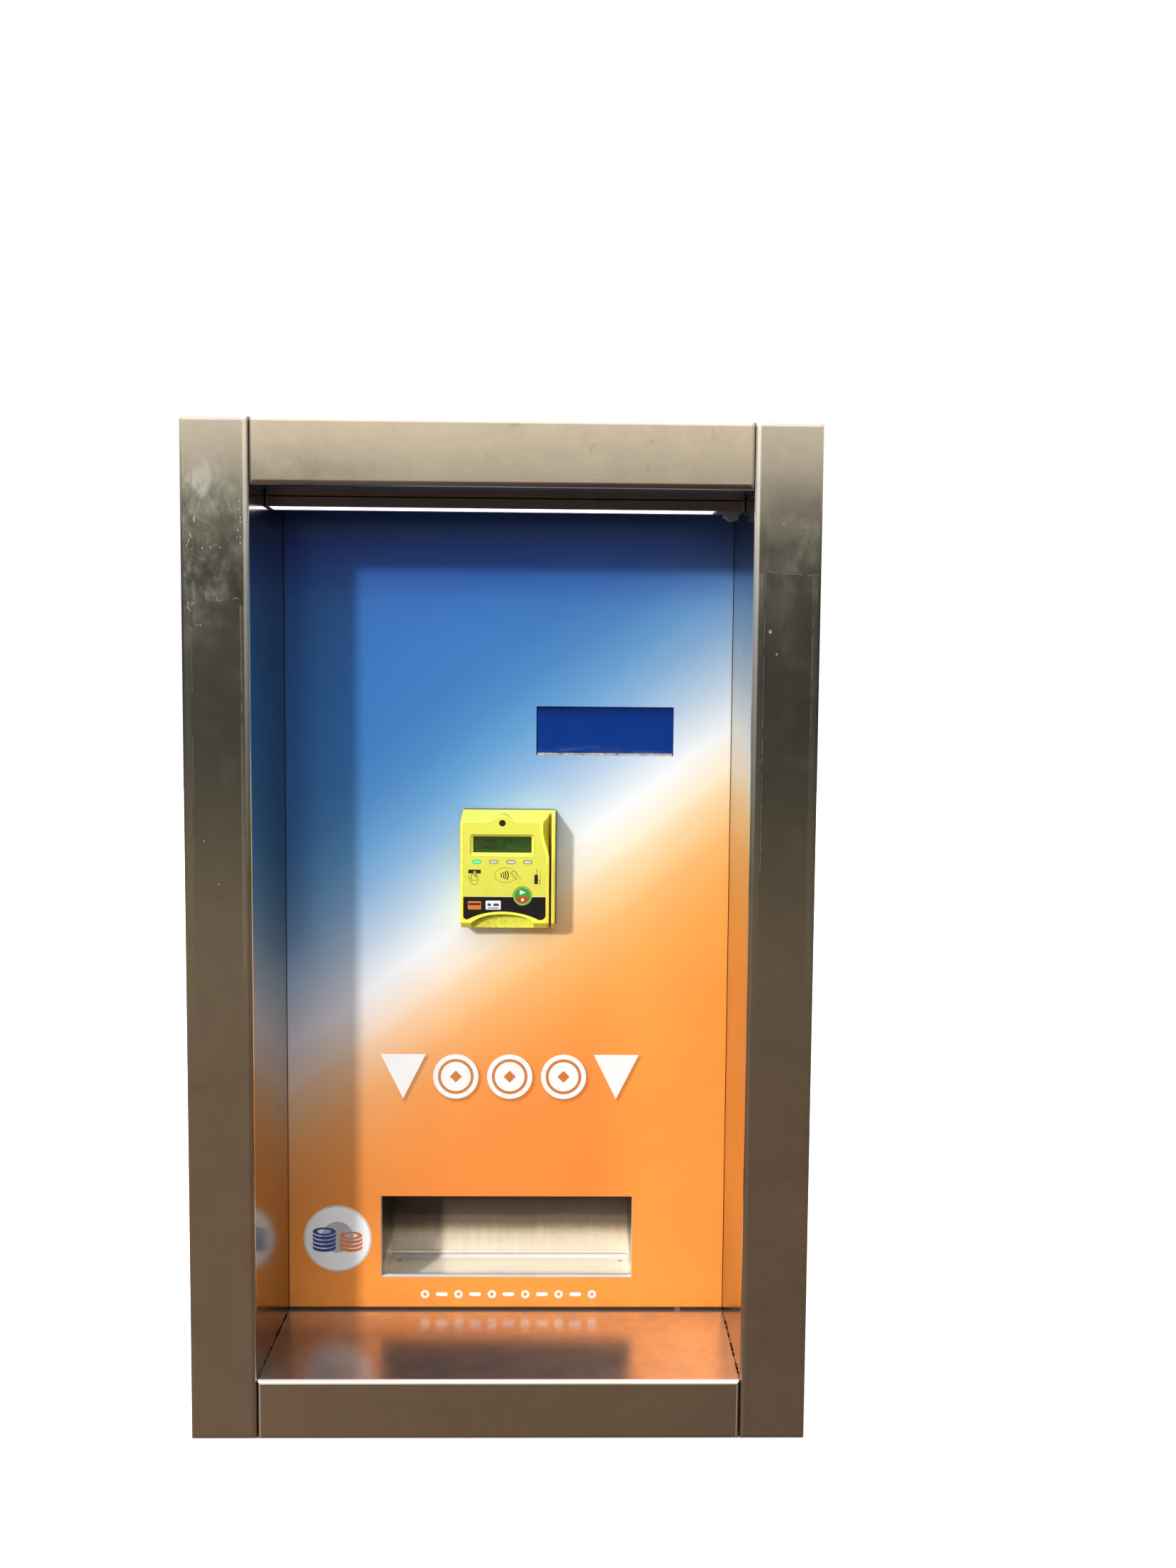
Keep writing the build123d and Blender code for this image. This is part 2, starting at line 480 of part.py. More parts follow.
# --------------------------------------------------------------------- payment reader
RF = READER_FRONT
PLATE_Y = PANEL_FRONT - FILM         # the reader stands on the film
S_CURVE = ((618.5, 38.0), (595.6, 38.1), (587.0, 39.7), (577.1, 43.0), (570.0, 44.75))
with BuildPart() as reader_body:
    # side profile, extruded across the width
    with BuildSketch(Plane.YZ.offset(READER_X0)):
        with BuildLine():
            Polyline((PLATE_Y - 2.0, up(492.2)), (-32.5, up(492.9)), (RF, up(499.3)), (RF, up(606.4)),
                     (-9.5, up(617.0)), (PLATE_Y - 2.0, up(617.0)), close=True)
        make_face()
    extrude(amount=READER_X1 - READER_X0)
    rim = list(reader_body.faces().sort_by(Axis.Y)[0].edges())
    rim += list(reader_body.edges().filter_by(lambda e: -30 < e.center().Y < -20 and e.center().Z > up(600)
                                              and abs(e.tangent_at(0.5).X) < 0.1))
    rim += list(reader_body.edges().filter_by(lambda e: -39 < e.center().Y < -35 and e.center().Z < up(500)
                                              and abs(e.tangent_at(0.5).X) < 0.1))
    fillet(rim, radius=2.0)
    # raised nose around the sensor
    with BuildSketch(front_plane(-12.0)):
        with BuildLine():
            Spline((-23.5, up(604.0)), (-17.0, up(607.2)), (-10.5, up(612.2)), (SENSOR_X, up(614.4)),
                   (1.5, up(612.2)), (8.0, up(607.2)), (14.5, up(604.0)))
            Line((14.5, up(604.0)), (-23.5, up(604.0)))
        make_face()
    extrude(amount=-12.0 - RF)
    # funnel that leads a card into the swipe slot
    with BuildSketch(Plane.XY.offset(up(S_CURVE[0][0]))) as s0:
        with BuildLine():
            Polyline((S_CURVE[0][1], RF - 1), (SLOT_X0 + 0.1, RF - 1), (SLOT_X0 + 0.1, -22.0), close=True)
        make_face()
    with BuildSketch(Plane.XY.offset(up(S_CURVE[1][0]))) as s1:
        with BuildLine():
            Polyline((S_CURVE[1][1], RF - 1), (SLOT_X0 + 0.1, RF - 1), (SLOT_X0 + 0.1, -22.0), close=True)
        make_face()
    with BuildSketch(Plane.XY.offset(up(S_CURVE[2][0]))) as s2:
        with BuildLine():
            Polyline((S_CURVE[2][1], RF - 1), (SLOT_X0 + 0.1, RF - 1), (SLOT_X0 + 0.1, -24.0), close=True)
        make_face()
    with BuildSketch(Plane.XY.offset(up(S_CURVE[3][0]))) as s3:
        with BuildLine():
            Polyline((S_CURVE[3][1], RF - 1), (SLOT_X0 + 0.1, RF - 1), (SLOT_X0 + 0.1, -31.0), close=True)
        make_face()
    with BuildSketch(Plane.XY.offset(up(S_CURVE[4][0]))) as s4:
        with BuildLine():
            Polyline((S_CURVE[4][1], RF - 1), (SLOT_X0 + 0.1, RF - 1), (SLOT_X0 + 0.1, -38.0), close=True)
        make_face()
    loft(ruled=True, mode=Mode.SUBTRACT)
    # swipe slot
    block((SLOT_X0, SLOT_X1), (RF - 1, -19.0), (480, 620), mode=Mode.SUBTRACT)
    # label pocket
    with BuildSketch(front_plane(RF + 0.5)):
        with BuildLine():
            Polyline((-45.6, up(518)), (-45.6, up(603.2)))
            ThreePointArc((-45.6, up(603.2)), (-44.7, up(605.3)), (-42.6, up(606.2)))
            Line((-42.6, up(606.2)), (-20.5, up(606.2)))
            Spline((-20.5, up(606.2)), (-12.5, up(609.2)), (SENSOR_X, up(611.5)), (3.5, up(609.2)), (11.5, up(606.2)),
                   tangents=((1, 0), (1, 0)))
            Line((11.5, up(606.2)), (31.6, up(606.2)))
            ThreePointArc((31.6, up(606.2)), (34.0, up(605.2)), (35.0, up(602.8)))
            Line((35.0, up(602.8)), (35.3, up(594.3)))
            Line((35.3, up(594.3)), (36.9, up(585.0)))
            Line((36.9, up(585.0)), (41.2, up(571.9)))
            Line((41.2, up(571.9)), (41.6, up(518)))
            Line((41.6, up(518)), (-45.6, up(518)))
        make_face()
        with BuildLine():
            Line((-45.6, up(518)), (-45.6, up(506.0)))
            ThreePointArc((-45.6, up(506.0)), (-43.6, up(503.4)), (-40.1, up(503.4)))
            Spline((-40.1, up(503.4)), (-23.8, up(509.4)), (-3.4, up(511.6)), (17.4, up(508.9)), (33.0, up(503.4)))
            ThreePointArc((33.0, up(503.4)), (38.6, up(503.2)), (41.6, up(507.0)))
            Line((41.6, up(507.0)), (41.6, up(518)))
            Line((41.6, up(518)), (-45.6, up(518)))
        make_face()
    extrude(amount=1.0, mode=Mode.SUBTRACT)
    # hollow inside, open to the back
    block((-46.2, 42.2), (RF + 3.7, 0), (513, 566), mode=Mode.SUBTRACT)
    block((-46.2, 34.5), (RF + 3.7, 0), (565.5, 602.5), mode=Mode.SUBTRACT)
    # display opening with sloping sides
    with BuildSketch(front_plane(RF + 0.3)):
        with Locations((-4.45, up(581.75))):
            RectangleRounded(67.7, 23.3, 3.2)
    with BuildSketch(front_plane(RF + 3.0)):
        with Locations((-4.45, up(582.6))):
            RectangleRounded(61.6, 17.0, 0.8)
    loft(mode=Mode.SUBTRACT)
    block((-35.2, 26.3), (RF + 2.5, -30), (574.1, 591.1), mode=Mode.SUBTRACT)
    # light pipes, button and sensor
    with BuildSketch(front_plane(RF + 6)):
        for x in LED_PITCH_X:
            with Locations((x, up(LED_Z))):
                SlotOverall(9.6, 4.2)
        with Locations((BUTTON_X, up(BUTTON_Z))):
            Circle(10.0)
    extrude(amount=8, mode=Mode.SUBTRACT)
    rod_y(SENSOR_X, SENSOR_Z, 3.2, RF - 1, RF + 6, mode=Mode.SUBTRACT)
    # window for the magnetic head in the slot wall
    block((41, 45.5), (-36, -24), (531, 547), mode=Mode.SUBTRACT)
    # finger scoop in the lower edge
    with BuildSketch(front_plane(RF - 1.0)) as scoop:
        with BuildLine():
            Line((-37.2, up(488)), (-37.2, up(499.6)))
            Spline((-37.2, up(499.6)), (-23.8, up(506.6)), (-3.4, up(509.0)), (17.4, up(506.2)), (28.6, up(501.0)))
            Line((28.6, up(501.0)), (28.6, up(488)))
            Line((28.6, up(488)), (-37.2, up(488)))
        make_face()
    extrude(amount=-11.5, mode=Mode.SUBTRACT)
finish(reader_body, "reader_body")

with BuildPart() as reader_backplate:
    with BuildSketch(front_plane(PLATE_Y)):
        with Locations(((-49.6 + 52.3) / 2, up((491.4 + 617.6) / 2))):
            RectangleRounded(101.9, 126.2, 3.0)
        with Locations((0, up(555))):
            RectangleRounded(50, 70, 3, mode=Mode.SUBTRACT)
        for x, z in READER_STUDS:
            with Locations((x, up(z))):
                Circle(2.2, mode=Mode.SUBTRACT)
    extrude(amount=2.0)
finish(reader_backplate, "reader_backplate")


def label_cutouts():
    """Openings of the label for the display, light pipes, button and sensor."""
    with Locations((-4.45, up(581.75))):
        RectangleRounded(67.7, 23.3, 3.2, mode=Mode.SUBTRACT)
    for x in LED_PITCH_X:
        with Locations((x, up(LED_Z))):
            SlotOverall(10.0, 4.6, mode=Mode.SUBTRACT)
    with Locations((BUTTON_X, up(BUTTON_Z))):
        Circle(10.2, mode=Mode.SUBTRACT)
    with Locations((SENSOR_X, up(SENSOR_Z))):
        Circle(3.5, mode=Mode.SUBTRACT)

with BuildPart() as reader_label:
    with BuildSketch(front_plane(RF + 0.5)):
        with BuildLine():
            Line((-45.4, up(518)), (-45.4, up(603.2)))
            ThreePointArc((-45.4, up(603.2)), (-44.55, up(605.15)), (-42.6, up(606.0)))
            Line((-42.6, up(606.0)), (-20.5, up(606.0)))
            Spline((-20.5, up(606.0)), (-12.5, up(609.0)), (SENSOR_X, up(611.3)), (3.5, up(609.0)), (11.5, up(606.0)),
                   tangents=((1, 0), (1, 0)))
            Line((11.5, up(606.0)), (31.6, up(606.0)))
            ThreePointArc((31.6, up(606.0)), (33.85, up(605.05)), (34.8, up(602.8)))
            Line((34.8, up(602.8)), (35.1, up(594.3)))
            Line((35.1, up(594.3)), (36.7, up(585.0)))
            Line((36.7, up(585.0)), (41.0, up(571.9)))
            Line((41.0, up(571.9)), (41.4, up(518)))
            Line((41.4, up(518)), (-45.4, up(518)))
        make_face()
        with BuildLine():
            Line((-45.4, up(518)), (-45.4, up(506.0)))
            ThreePointArc((-45.4, up(506.0)), (-43.5, up(503.7)), (-40.3, up(503.6)))
            Spline((-40.3, up(503.6)), (-23.8, up(509.7)), (-3.4, up(511.8)), (17.4, up(509.2)), (33.1, up(503.6)))
            ThreePointArc((33.1, up(503.6)), (38.4, up(503.5)), (41.4, up(507.0)))
            Line((41.4, up(507.0)), (41.4, up(518)))
            Line((41.4, up(518)), (-45.4, up(518)))
        make_face()
        label_cutouts()
    extrude(amount=0.35)
finish(reader_label, "reader_label")

with BuildPart() as reader_lcd_window:
    block((-39, 30), (RF + 3.7, RF + 4.9), (570.5, 594.5))
finish(reader_lcd_window, "reader_lcd_window")

with BuildPart() as reader_lcd:
    block((-42, 33), (RF + 4.9, RF + 11), (569.4, 598))
    block((-42, 33), (RF + 4.9, RF + 9), (567.4, 569.4))
finish(reader_lcd, "reader_lcd")

with BuildPart() as reader_light_pipes:
    with BuildSketch(front_plane(RF + 11.0)):
        for x in LED_PITCH_X:
            with Locations((x, up(LED_Z))):
                SlotOverall(9.3, 3.9)
    extrude(amount=10.9)
    fillet(reader_light_pipes.faces().group_by(Axis.Y)[0].edges(), radius=0.6)
finish(reader_light_pipes, "reader_light_pipes")

with BuildPart() as reader_sensor_lens:
    rod_y(SENSOR_X, SENSOR_Z, 3.05, RF + 1.2, RF + 5.9)
    rod_y(SENSOR_X, SENSOR_Z, 2.0, RF + 0.6, RF + 1.6)
    fillet(reader_sensor_lens.faces().sort_by(Axis.Y)[0].edges(), radius=0.4)
finish(reader_sensor_lens, "reader_sensor_lens")

with BuildPart() as reader_button:
    rod_y(BUTTON_X, BUTTON_Z, BUTTON_R, RF - 0.5, RF + 4.5)
    fillet(reader_button.faces().sort_by(Axis.Y)[0].edges(), radius=0.5)
    rod_y(BUTTON_X, BUTTON_Z, 11.4, RF + 3.95, RF + 5.2)
finish(reader_button, "reader_button")

with BuildPart() as reader_board:
    block((-45, 33.5), (-27.5, -25.9), (514.5, 601))
    # key switch, lamps and chips on the board
    block((BUTTON_X - 5, BUTTON_X + 5), (-33.4, -27.5), (BUTTON_Z - 5, BUTTON_Z + 5))
    rod_y(BUTTON_X, BUTTON_Z, 1.8, -35.3, -33.4)
    for x in LED_PITCH_X:
        block((x - 2, x + 2), (-29.5, -27.5), (LED_Z - 1.5, LED_Z + 1.5))
    block((-30, -8), (-25.9, -23.5), (535, 557))
    block((4, 16), (-25.9, -24.0), (575, 587))
    block((-20, 10), (-25.9, -18.0), (590, 599))
finish(reader_board, "reader_board")

with BuildPart() as reader_mag_head:
    block((40.5, 44.4), (-35.5, -24.5), (532, 546))
    with BuildSketch(Plane.XY.offset(up(533.5))):
        with Locations((43.2, -30)):
            Circle(2.4)
    extrude(amount=11)
finish(reader_mag_head, "reader_mag_head")

# --------------------------------------------------------------------- delivery tray
TX = TRAY_W / 2
with BuildPart() as delivery_tray:
    block((-TX - 1.5, TX + 1.5), (PANEL_BACK, TRAY_BACK + 1.5), (TRAY_FLOOR - 1.5, 201.5))
    fillet(delivery_tray.edges().filter_by(Axis.X).filter_by(
        lambda e: e.center().Y > 50 and e.center().Z < up(100)), radius=9.5)
    with BuildSketch(Plane.YZ.offset(-TX)):
        with BuildLine():
            Polyline((PANEL_BACK + 1.5, up(TRAY_FLOOR)), (TRAY_BACK - 8, up(TRAY_FLOOR)))
            RadiusArc((TRAY_BACK - 8, up(TRAY_FLOOR)), (TRAY_BACK, up(TRAY_FLOOR + 8)), -8)
            Polyline((TRAY_BACK, up(TRAY_FLOOR + 8)), (TRAY_BACK, up(200)), (PANEL_BACK + 1.5, up(200)),
                     (PANEL_BACK + 1.5, up(TRAY_FLOOR)))
        make_face()
    extrude(amount=TRAY_W, mode=Mode.SUBTRACT)
    # fixing flange behind the panel
    block((-TX - 15, TX + 15), (PANEL_BACK, PANEL_BACK + 1.5), (TRAY_FLOOR - 1.5, 206))
    block((-TX, TX), (-3, PANEL_BACK + 1.6), (TRAY_Z0, TRAY_Z1), mode=Mode.SUBTRACT)
    # hemmed lip behind the lower edge of the opening
    block((-TX, TX), (PANEL_BACK, 5.0), (TRAY_Z0 - 1.5, TRAY_Z0))
    # token inlet in the roof and drain holes in the floor
    block((-35, 35), (25, 95), (199, 203), mode=Mode.SUBTRACT)
    for s in (-1, 1):
        rod_z(s * (TX - 8), 92.0, 2.75, 68, 75, mode=Mode.SUBTRACT)
    for x, z in TRAY_STUDS:
        rod_y(x, z, 2.0, -3, 1, mode=Mode.SUBTRACT)
finish(delivery_tray, "delivery_tray")

# Studs welded to the back of the panel, the studs of the reader, and all their nuts
with BuildPart() as panel_fasteners:
    for sx in (-1, 1):
        for h in STUD_Z:
            rod_y(sx * STUD_X, h, 2.0, PANEL_BACK, 7.0)
    for x, z in DISPLAY_STUDS:
        rod_y(x, z, 1.9, PANEL_BACK, 15.0)
    for x, z in TRAY_STUDS:
        rod_y(x, z, 1.9, PANEL_BACK, 5.0)
    for x, z in READER_STUDS:
        rod_y(x, z, 2.0, -6.2, 6.0)
        with BuildSketch(front_plane(1.4)):
            with Locations((x, up(z))):
                RegularPolygon(4.04, 6)
        extrude(amount=3.4)
    groups = (
        (3.2, 3.2, 2.03, [(sx * STUD_X, h) for sx in (-1, 1) for h in STUD_Z]),
        (14.6, 2.6, 1.93, DISPLAY_STUDS),
        (2.1, 2.6, 1.93, TRAY_STUDS),
    )
    for back, thick, bore, places in groups:
        for x, z in places:
            with BuildSketch(front_plane(back)):
                with Locations((x, up(z))):
                    RegularPolygon(4.04, 6)
                    Circle(bore, mode=Mode.SUBTRACT)
            extrude(amount=thick)
    # spacer sleeves between the panel and the display board
    for x, z in DISPLAY_STUDS:
        with BuildSketch(front_plane(10.4)):
            with Locations((x, up(z))):
                Circle(3.5)
                Circle(1.95, mode=Mode.SUBTRACT)
        extrude(amount=10.4 - PANEL_BACK)
finish(panel_fasteners, "panel_fasteners")

# Token chute: a square duct that stands on the roof of the tray
with BuildPart() as token_chute:
    block((-34, 34), (26, 94), (201.5, 358))
    block((-42, 42), (18, 98.5), (201.5, 202.7))
    block((-32.8, 32.8), (27.2, 92.8), (200, 360), mode=Mode.SUBTRACT)
finish(token_chute, "token_chute")

# ---------------------------------------------------------------------------- hopper
with BuildPart() as hopper_shelf:
    block((-CX + CAB_T, CX - CAB_T), (100, 285), (SHELF_Z - 2, SHELF_Z))
    block((-CX + CAB_T, CX - CAB_T), (100, 102), (SHELF_Z - 20, SHELF_Z))
    block((-CX + CAB_T, CX - CAB_T), (283, 285), (SHELF_Z - 20, SHELF_Z))
    block((-CX + CAB_T, -CX + CAB_T + 2), (100, 285), (SHELF_Z - 20, SHELF_Z))
    block((CX - CAB_T - 2, CX - CAB_T), (100, 285), (SHELF_Z - 20, SHELF_Z))
    for x in (-150, 150):
        with Locations((x, 190, up(SHELF_Z - 1))):
            Box(60, 20, 6, mode=Mode.SUBTRACT)
finish(hopper_shelf, "hopper_shelf")

with BuildPart() as hopper_base:
    block((-70, 70), (106, 262), (SHELF_Z, SHELF_Z + 5))
    for s in (-1, 1):
        xs = sorted((s * 62.5, s * 66.5))
        block(xs, (106, 262), (SHELF_Z + 5, SHELF_Z + 18))
        xs = sorted((s * 58.5, s * 62.5))
        block(xs, (106, 262), (SHELF_Z + 14, SHELF_Z + 18))
finish(hopper_base, "hopper_base")

HZ = SHELF_Z + 5.3
with BuildPart() as hopper_body:
    block((-62.1, 62.1), (110, 250), (HZ, HZ + 8))
    block((-58, 58), (110, 250), (HZ, 380))
    block((-54, 54), (114, 246), (HZ + 3, 362), mode=Mode.SUBTRACT)
    rod_z(0, HOPPER_Y, 53.0, 368, 381, mode=Mode.SUBTRACT)
    # exit slot and spout towards the chute
    block((-18, 18), (66, 112), (362, 368))
    for s in (-1, 1):
        xs = sorted((s * 15.5, s * 18))
        block(xs, (66, 112), (366, 380))
    block((-15.5, 15.5), (60, HOPPER_Y - 40), (368, 377), mode=Mode.SUBTRACT)
    rod_z(0, HOPPER_Y, 4.05, 355, 370, mode=Mode.SUBTRACT)
    fillet(hopper_body.edges().filter_by(Axis.Z).filter_by(
        lambda e: e.length > 40 and abs(e.center().X) > 57), radius=3)
finish(hopper_body, "hopper_body")

with BuildPart() as hopper_disc:
    rod_z(0, HOPPER_Y, 52.0, 369, 373)
    rod_z(0, HOPPER_Y, 12.0, 373, 382)
    rod_z(0, HOPPER_Y, 4.0, 346, 369)
    for k in range(6):
        a = math.radians(60 * k)
        rod_z(34.5 * math.cos(a), HOPPER_Y + 34.5 * math.sin(a), 13.6, 367, 375, mode=Mode.SUBTRACT)
    # two stirring fingers
    for s in (-1, 1):
        block(sorted((s * 10, s * 20)), (HOPPER_Y - 2, HOPPER_Y + 2), (375, 380))
finish(hopper_disc, "hopper_disc")

with BuildPart() as hopper_motor:
    rod_z(0, HOPPER_Y, 18.0, 312, 340)
    block((-22, 22), (HOPPER_Y - 30, HOPPER_Y + 22), (340, 362))
    rod_z(0, HOPPER_Y, 4.06, 343, 363, mode=Mode.SUBTRACT)
finish(hopper_motor, "hopper_motor")

with BuildPart() as hopper_throat:
    with BuildSketch(Plane.XY.offset(up(380))):
        with Locations((0, HOPPER_Y)):
            RectangleRounded(124, 124, 8)
    extrude(amount=45)
    with BuildSketch(Plane.XY.offset(up(380))):
        with Locations((0, HOPPER_Y)):
            Circle(51)
    with BuildSketch(Plane.XY.offset(up(425))):
        with Locations((0, HOPPER_Y)):
            Circle(59)
    loft(mode=Mode.SUBTRACT)
finish(hopper_throat, "hopper_throat")

with BuildPart() as hopper_bowl:
    with BuildSketch(Plane.XY.offset(up(425))):
        with Locations((0, HOPPER_Y)):
            RectangleRounded(124, 124, 8)
            RectangleRounded(119, 119, 6, mode=Mode.SUBTRACT)
    extrude(amount=67)
    # outward rim at the mouth
    with BuildSketch(Plane.XY.offset(up(489))):
        with Locations((0, HOPPER_Y)):
            RectangleRounded(130, 130, 10)
            RectangleRounded(119, 119, 6, mode=Mode.SUBTRACT)
    extrude(amount=3)
finish(hopper_bowl, "hopper_bowl")

# ----------------------------------------------------------------------- electronics
with BuildPart() as mounting_plate:
    block((-CX + CAB_T, -CX + CAB_T + 1.5), (45, 265), (520, 850))
    for z in (540, 700, 830):
        for y in (60, 250):
            rod_x(y, z, 4.0, -222, -214)
    for z in (560, 800):
        for y in (70, 230):
            rod_x(y, z, 2.0, -224.8, -222)
finish(mounting_plate, "mounting_plate")

with BuildPart() as controller_board:
    block((-214, -212.4), (52, 258), (532, 838))
    block((-212.4, -209.4), (120, 150), (700, 730))
    block((-212.4, -210), (90, 102), (760, 790))
    for k in range(5):
        block((-212.4, -202), (70, 84), (560 + 26 * k, 580 + 26 * k))
    for k in range(3):
        rod_x(200, 580 + 22 * k, 8.0, -212.4, -192)
    block((-212.4, -196), (180, 245), (740, 800))
    for k in range(6):
        block((-212.4, -204), (232, 246), (560 + 18 * k, 572 + 18 * k))
    for k in range(4):
        block((-196, -190), (184 + 16 * k, 188 + 16 * k), (742, 798))
finish(controller_board, "controller_board")

with BuildPart() as power_supply:
    block((178, CX - CAB_T), (70, 250), (600, 720))
    fillet(power_supply.edges().filter_by(Axis.Y), radius=2)
    for k in range(7):
        for j in range(4):
            with Locations((178, 90 + 22 * k, up(620 + 26 * j))):
                Box(4, 12, 6, mode=Mode.SUBTRACT)
    block((190, 218), (250, 258), (612, 640))
finish(power_supply, "power_supply")

with BuildPart() as switch_box:
    block((188, CX - CAB_T), (205, 262), (480, 560))
    fillet(switch_box.edges().filter_by(Axis.Y).filter_by(lambda e: e.center().X < 190), radius=3)
    block((194, 217), (250, 263), (505, 535), mode=Mode.SUBTRACT)
    rod_x(260.5, 520, 1.5, 192, 219, mode=Mode.SUBTRACT)
finish(switch_box, "switch_box")

# Rocker of the mains switch, resting in its off position
ROCKER_Y, ROCKER_Z, ROCKER_TILT = 260.5, 520.0, 10.0
rocker_plane = Plane(
    origin=(194.5, ROCKER_Y, up(ROCKER_Z)),
    x_dir=(0, math.cos(math.radians(ROCKER_TILT)), -math.sin(math.radians(ROCKER_TILT))),
    z_dir=(1, 0, 0),
)
with BuildPart() as power_rocker:
    with BuildSketch(rocker_plane):
        with BuildLine():
            Polyline((-8.0, -11), (-1.0, -11), (3.0, -10.4), (1.0, 0), (3.0, 10.4), (-1.0, 11), (-8.0, 11),
                     close=True)
        make_face()
    extrude(amount=22)
    rod_x(ROCKER_Y, ROCKER_Z, 1.45, 192.3, 218.7)
finish(power_rocker, "power_rocker")

with BuildPart() as cable_gland:
    with BuildSketch(Plane.XY.offset(up(40))):
        with Locations((GLAND_X, GLAND_Y)):
            RegularPolygon(14.0, 6)
    extrude(amount=12)
    rod_z(GLAND_X, GLAND_Y, 13.0, 52, 58)
    rod_z(GLAND_X, GLAND_Y, 10.0, 57, 74)
    with BuildSketch(Plane.XY.offset(up(59.5))):
        with Locations((GLAND_X, GLAND_Y)):
            RegularPolygon(14.0, 6)
    extrude(amount=6)
    rod_z(GLAND_X, GLAND_Y, 5.0, 39, 75, mode=Mode.SUBTRACT)
finish(cable_gland, "cable_gland")


def lead(radius, bend, *points):
    """A round lead along straight runs with rounded corners; z is given in heights."""
    places = [(x, y, up(z)) for x, y, z in points]
    with BuildLine():
        route = FilletPolyline(*places, radius=bend)
    with BuildSketch(Plane(origin=route @ 0, z_dir=route % 0)) as section:
        Circle(radius)
    sweep(sections=section.sketch, path=route)


# Leads inside the cabinet: mains, supply, display, reader and hopper
with BuildPart() as wiring_harness:
    lead(3.2, 14, (150, 230, 75.2), (150, 230, 125), (150, 190, 190), (150, 190, 380), (204, 235, 440),
         (204, 235, 479.9))
    lead(2.6, 8, (200, 238, 560.1), (200, 238, 584), (200, 254, 598), (200, 254, 611.9))
    lead(2.6, 16, (201, 90, 720.1), (201, 90, 775), (195, 20, 778), (-190, 20, 774), (-207, 24, 735),
         (-207, 30, 660), (-207, 69.0, 648))
    lead(1.8, 9, (130, 16, 738.1), (130, 16, 762), (100, 16, 765), (-185, 16, 764), (-207, 17.5, 720),
         (-207, 24, 640), (-207, 69.1, 622))
    lead(1.6, 4, (-5, -17.9, 594.5), (-5, -11, 594.5), (-5, -11, 578), (-5, 18, 570), (-185, 20, 566),
         (-207, 34, 569), (-207, 69.9, 570))
    lead(2.0, 6, (-207, 69.6, 596), (-208, 50, 594), (-214, 38, 560), (-214, 46, 350), (-200, 90, 312),
         (-150, 128, 307.5), (-88.1, 132, 307.5))
    # plug of the hopper lead on its socket
    block((-88, -74), (125, 139), (SHELF_Z, SHELF_Z + 11))
finish(wiring_harness, "wiring_harness")
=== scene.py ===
"""Looks of the wall-built token vending machine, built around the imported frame."""

import math
import random

import bmesh
import bpy
from mathutils import Matrix, Vector


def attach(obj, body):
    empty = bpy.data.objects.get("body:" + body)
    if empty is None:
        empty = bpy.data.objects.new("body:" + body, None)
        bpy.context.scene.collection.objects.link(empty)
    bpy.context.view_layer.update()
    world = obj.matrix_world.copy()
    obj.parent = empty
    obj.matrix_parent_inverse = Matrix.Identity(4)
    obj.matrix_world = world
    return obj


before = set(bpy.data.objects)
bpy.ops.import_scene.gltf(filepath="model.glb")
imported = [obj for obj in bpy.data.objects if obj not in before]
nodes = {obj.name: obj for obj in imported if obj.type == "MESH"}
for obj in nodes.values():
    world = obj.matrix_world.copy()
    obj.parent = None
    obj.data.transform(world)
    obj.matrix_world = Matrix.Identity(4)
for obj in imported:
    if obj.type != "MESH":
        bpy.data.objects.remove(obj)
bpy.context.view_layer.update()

scene = bpy.context.scene


def up(h):
    """Height above the lower edge of the surround, in mm, to Z in metres."""
    return (h - 500.0) / 1000.0


def srgb(code):
    """Display colour such as #d09040 to linear RGBA."""
    code = code.lstrip("#")
    out = []
    for i in (0, 2, 4):
        v = int(code[i : i + 2], 16) / 255.0
        out.append(v / 12.92 if v <= 0.04045 else ((v + 0.055) / 1.055) ** 2.4)
    return (out[0], out[1], out[2], 1.0)


def shade(colour, k):
    return (colour[0] * k, colour[1] * k, colour[2] * k, 1.0)


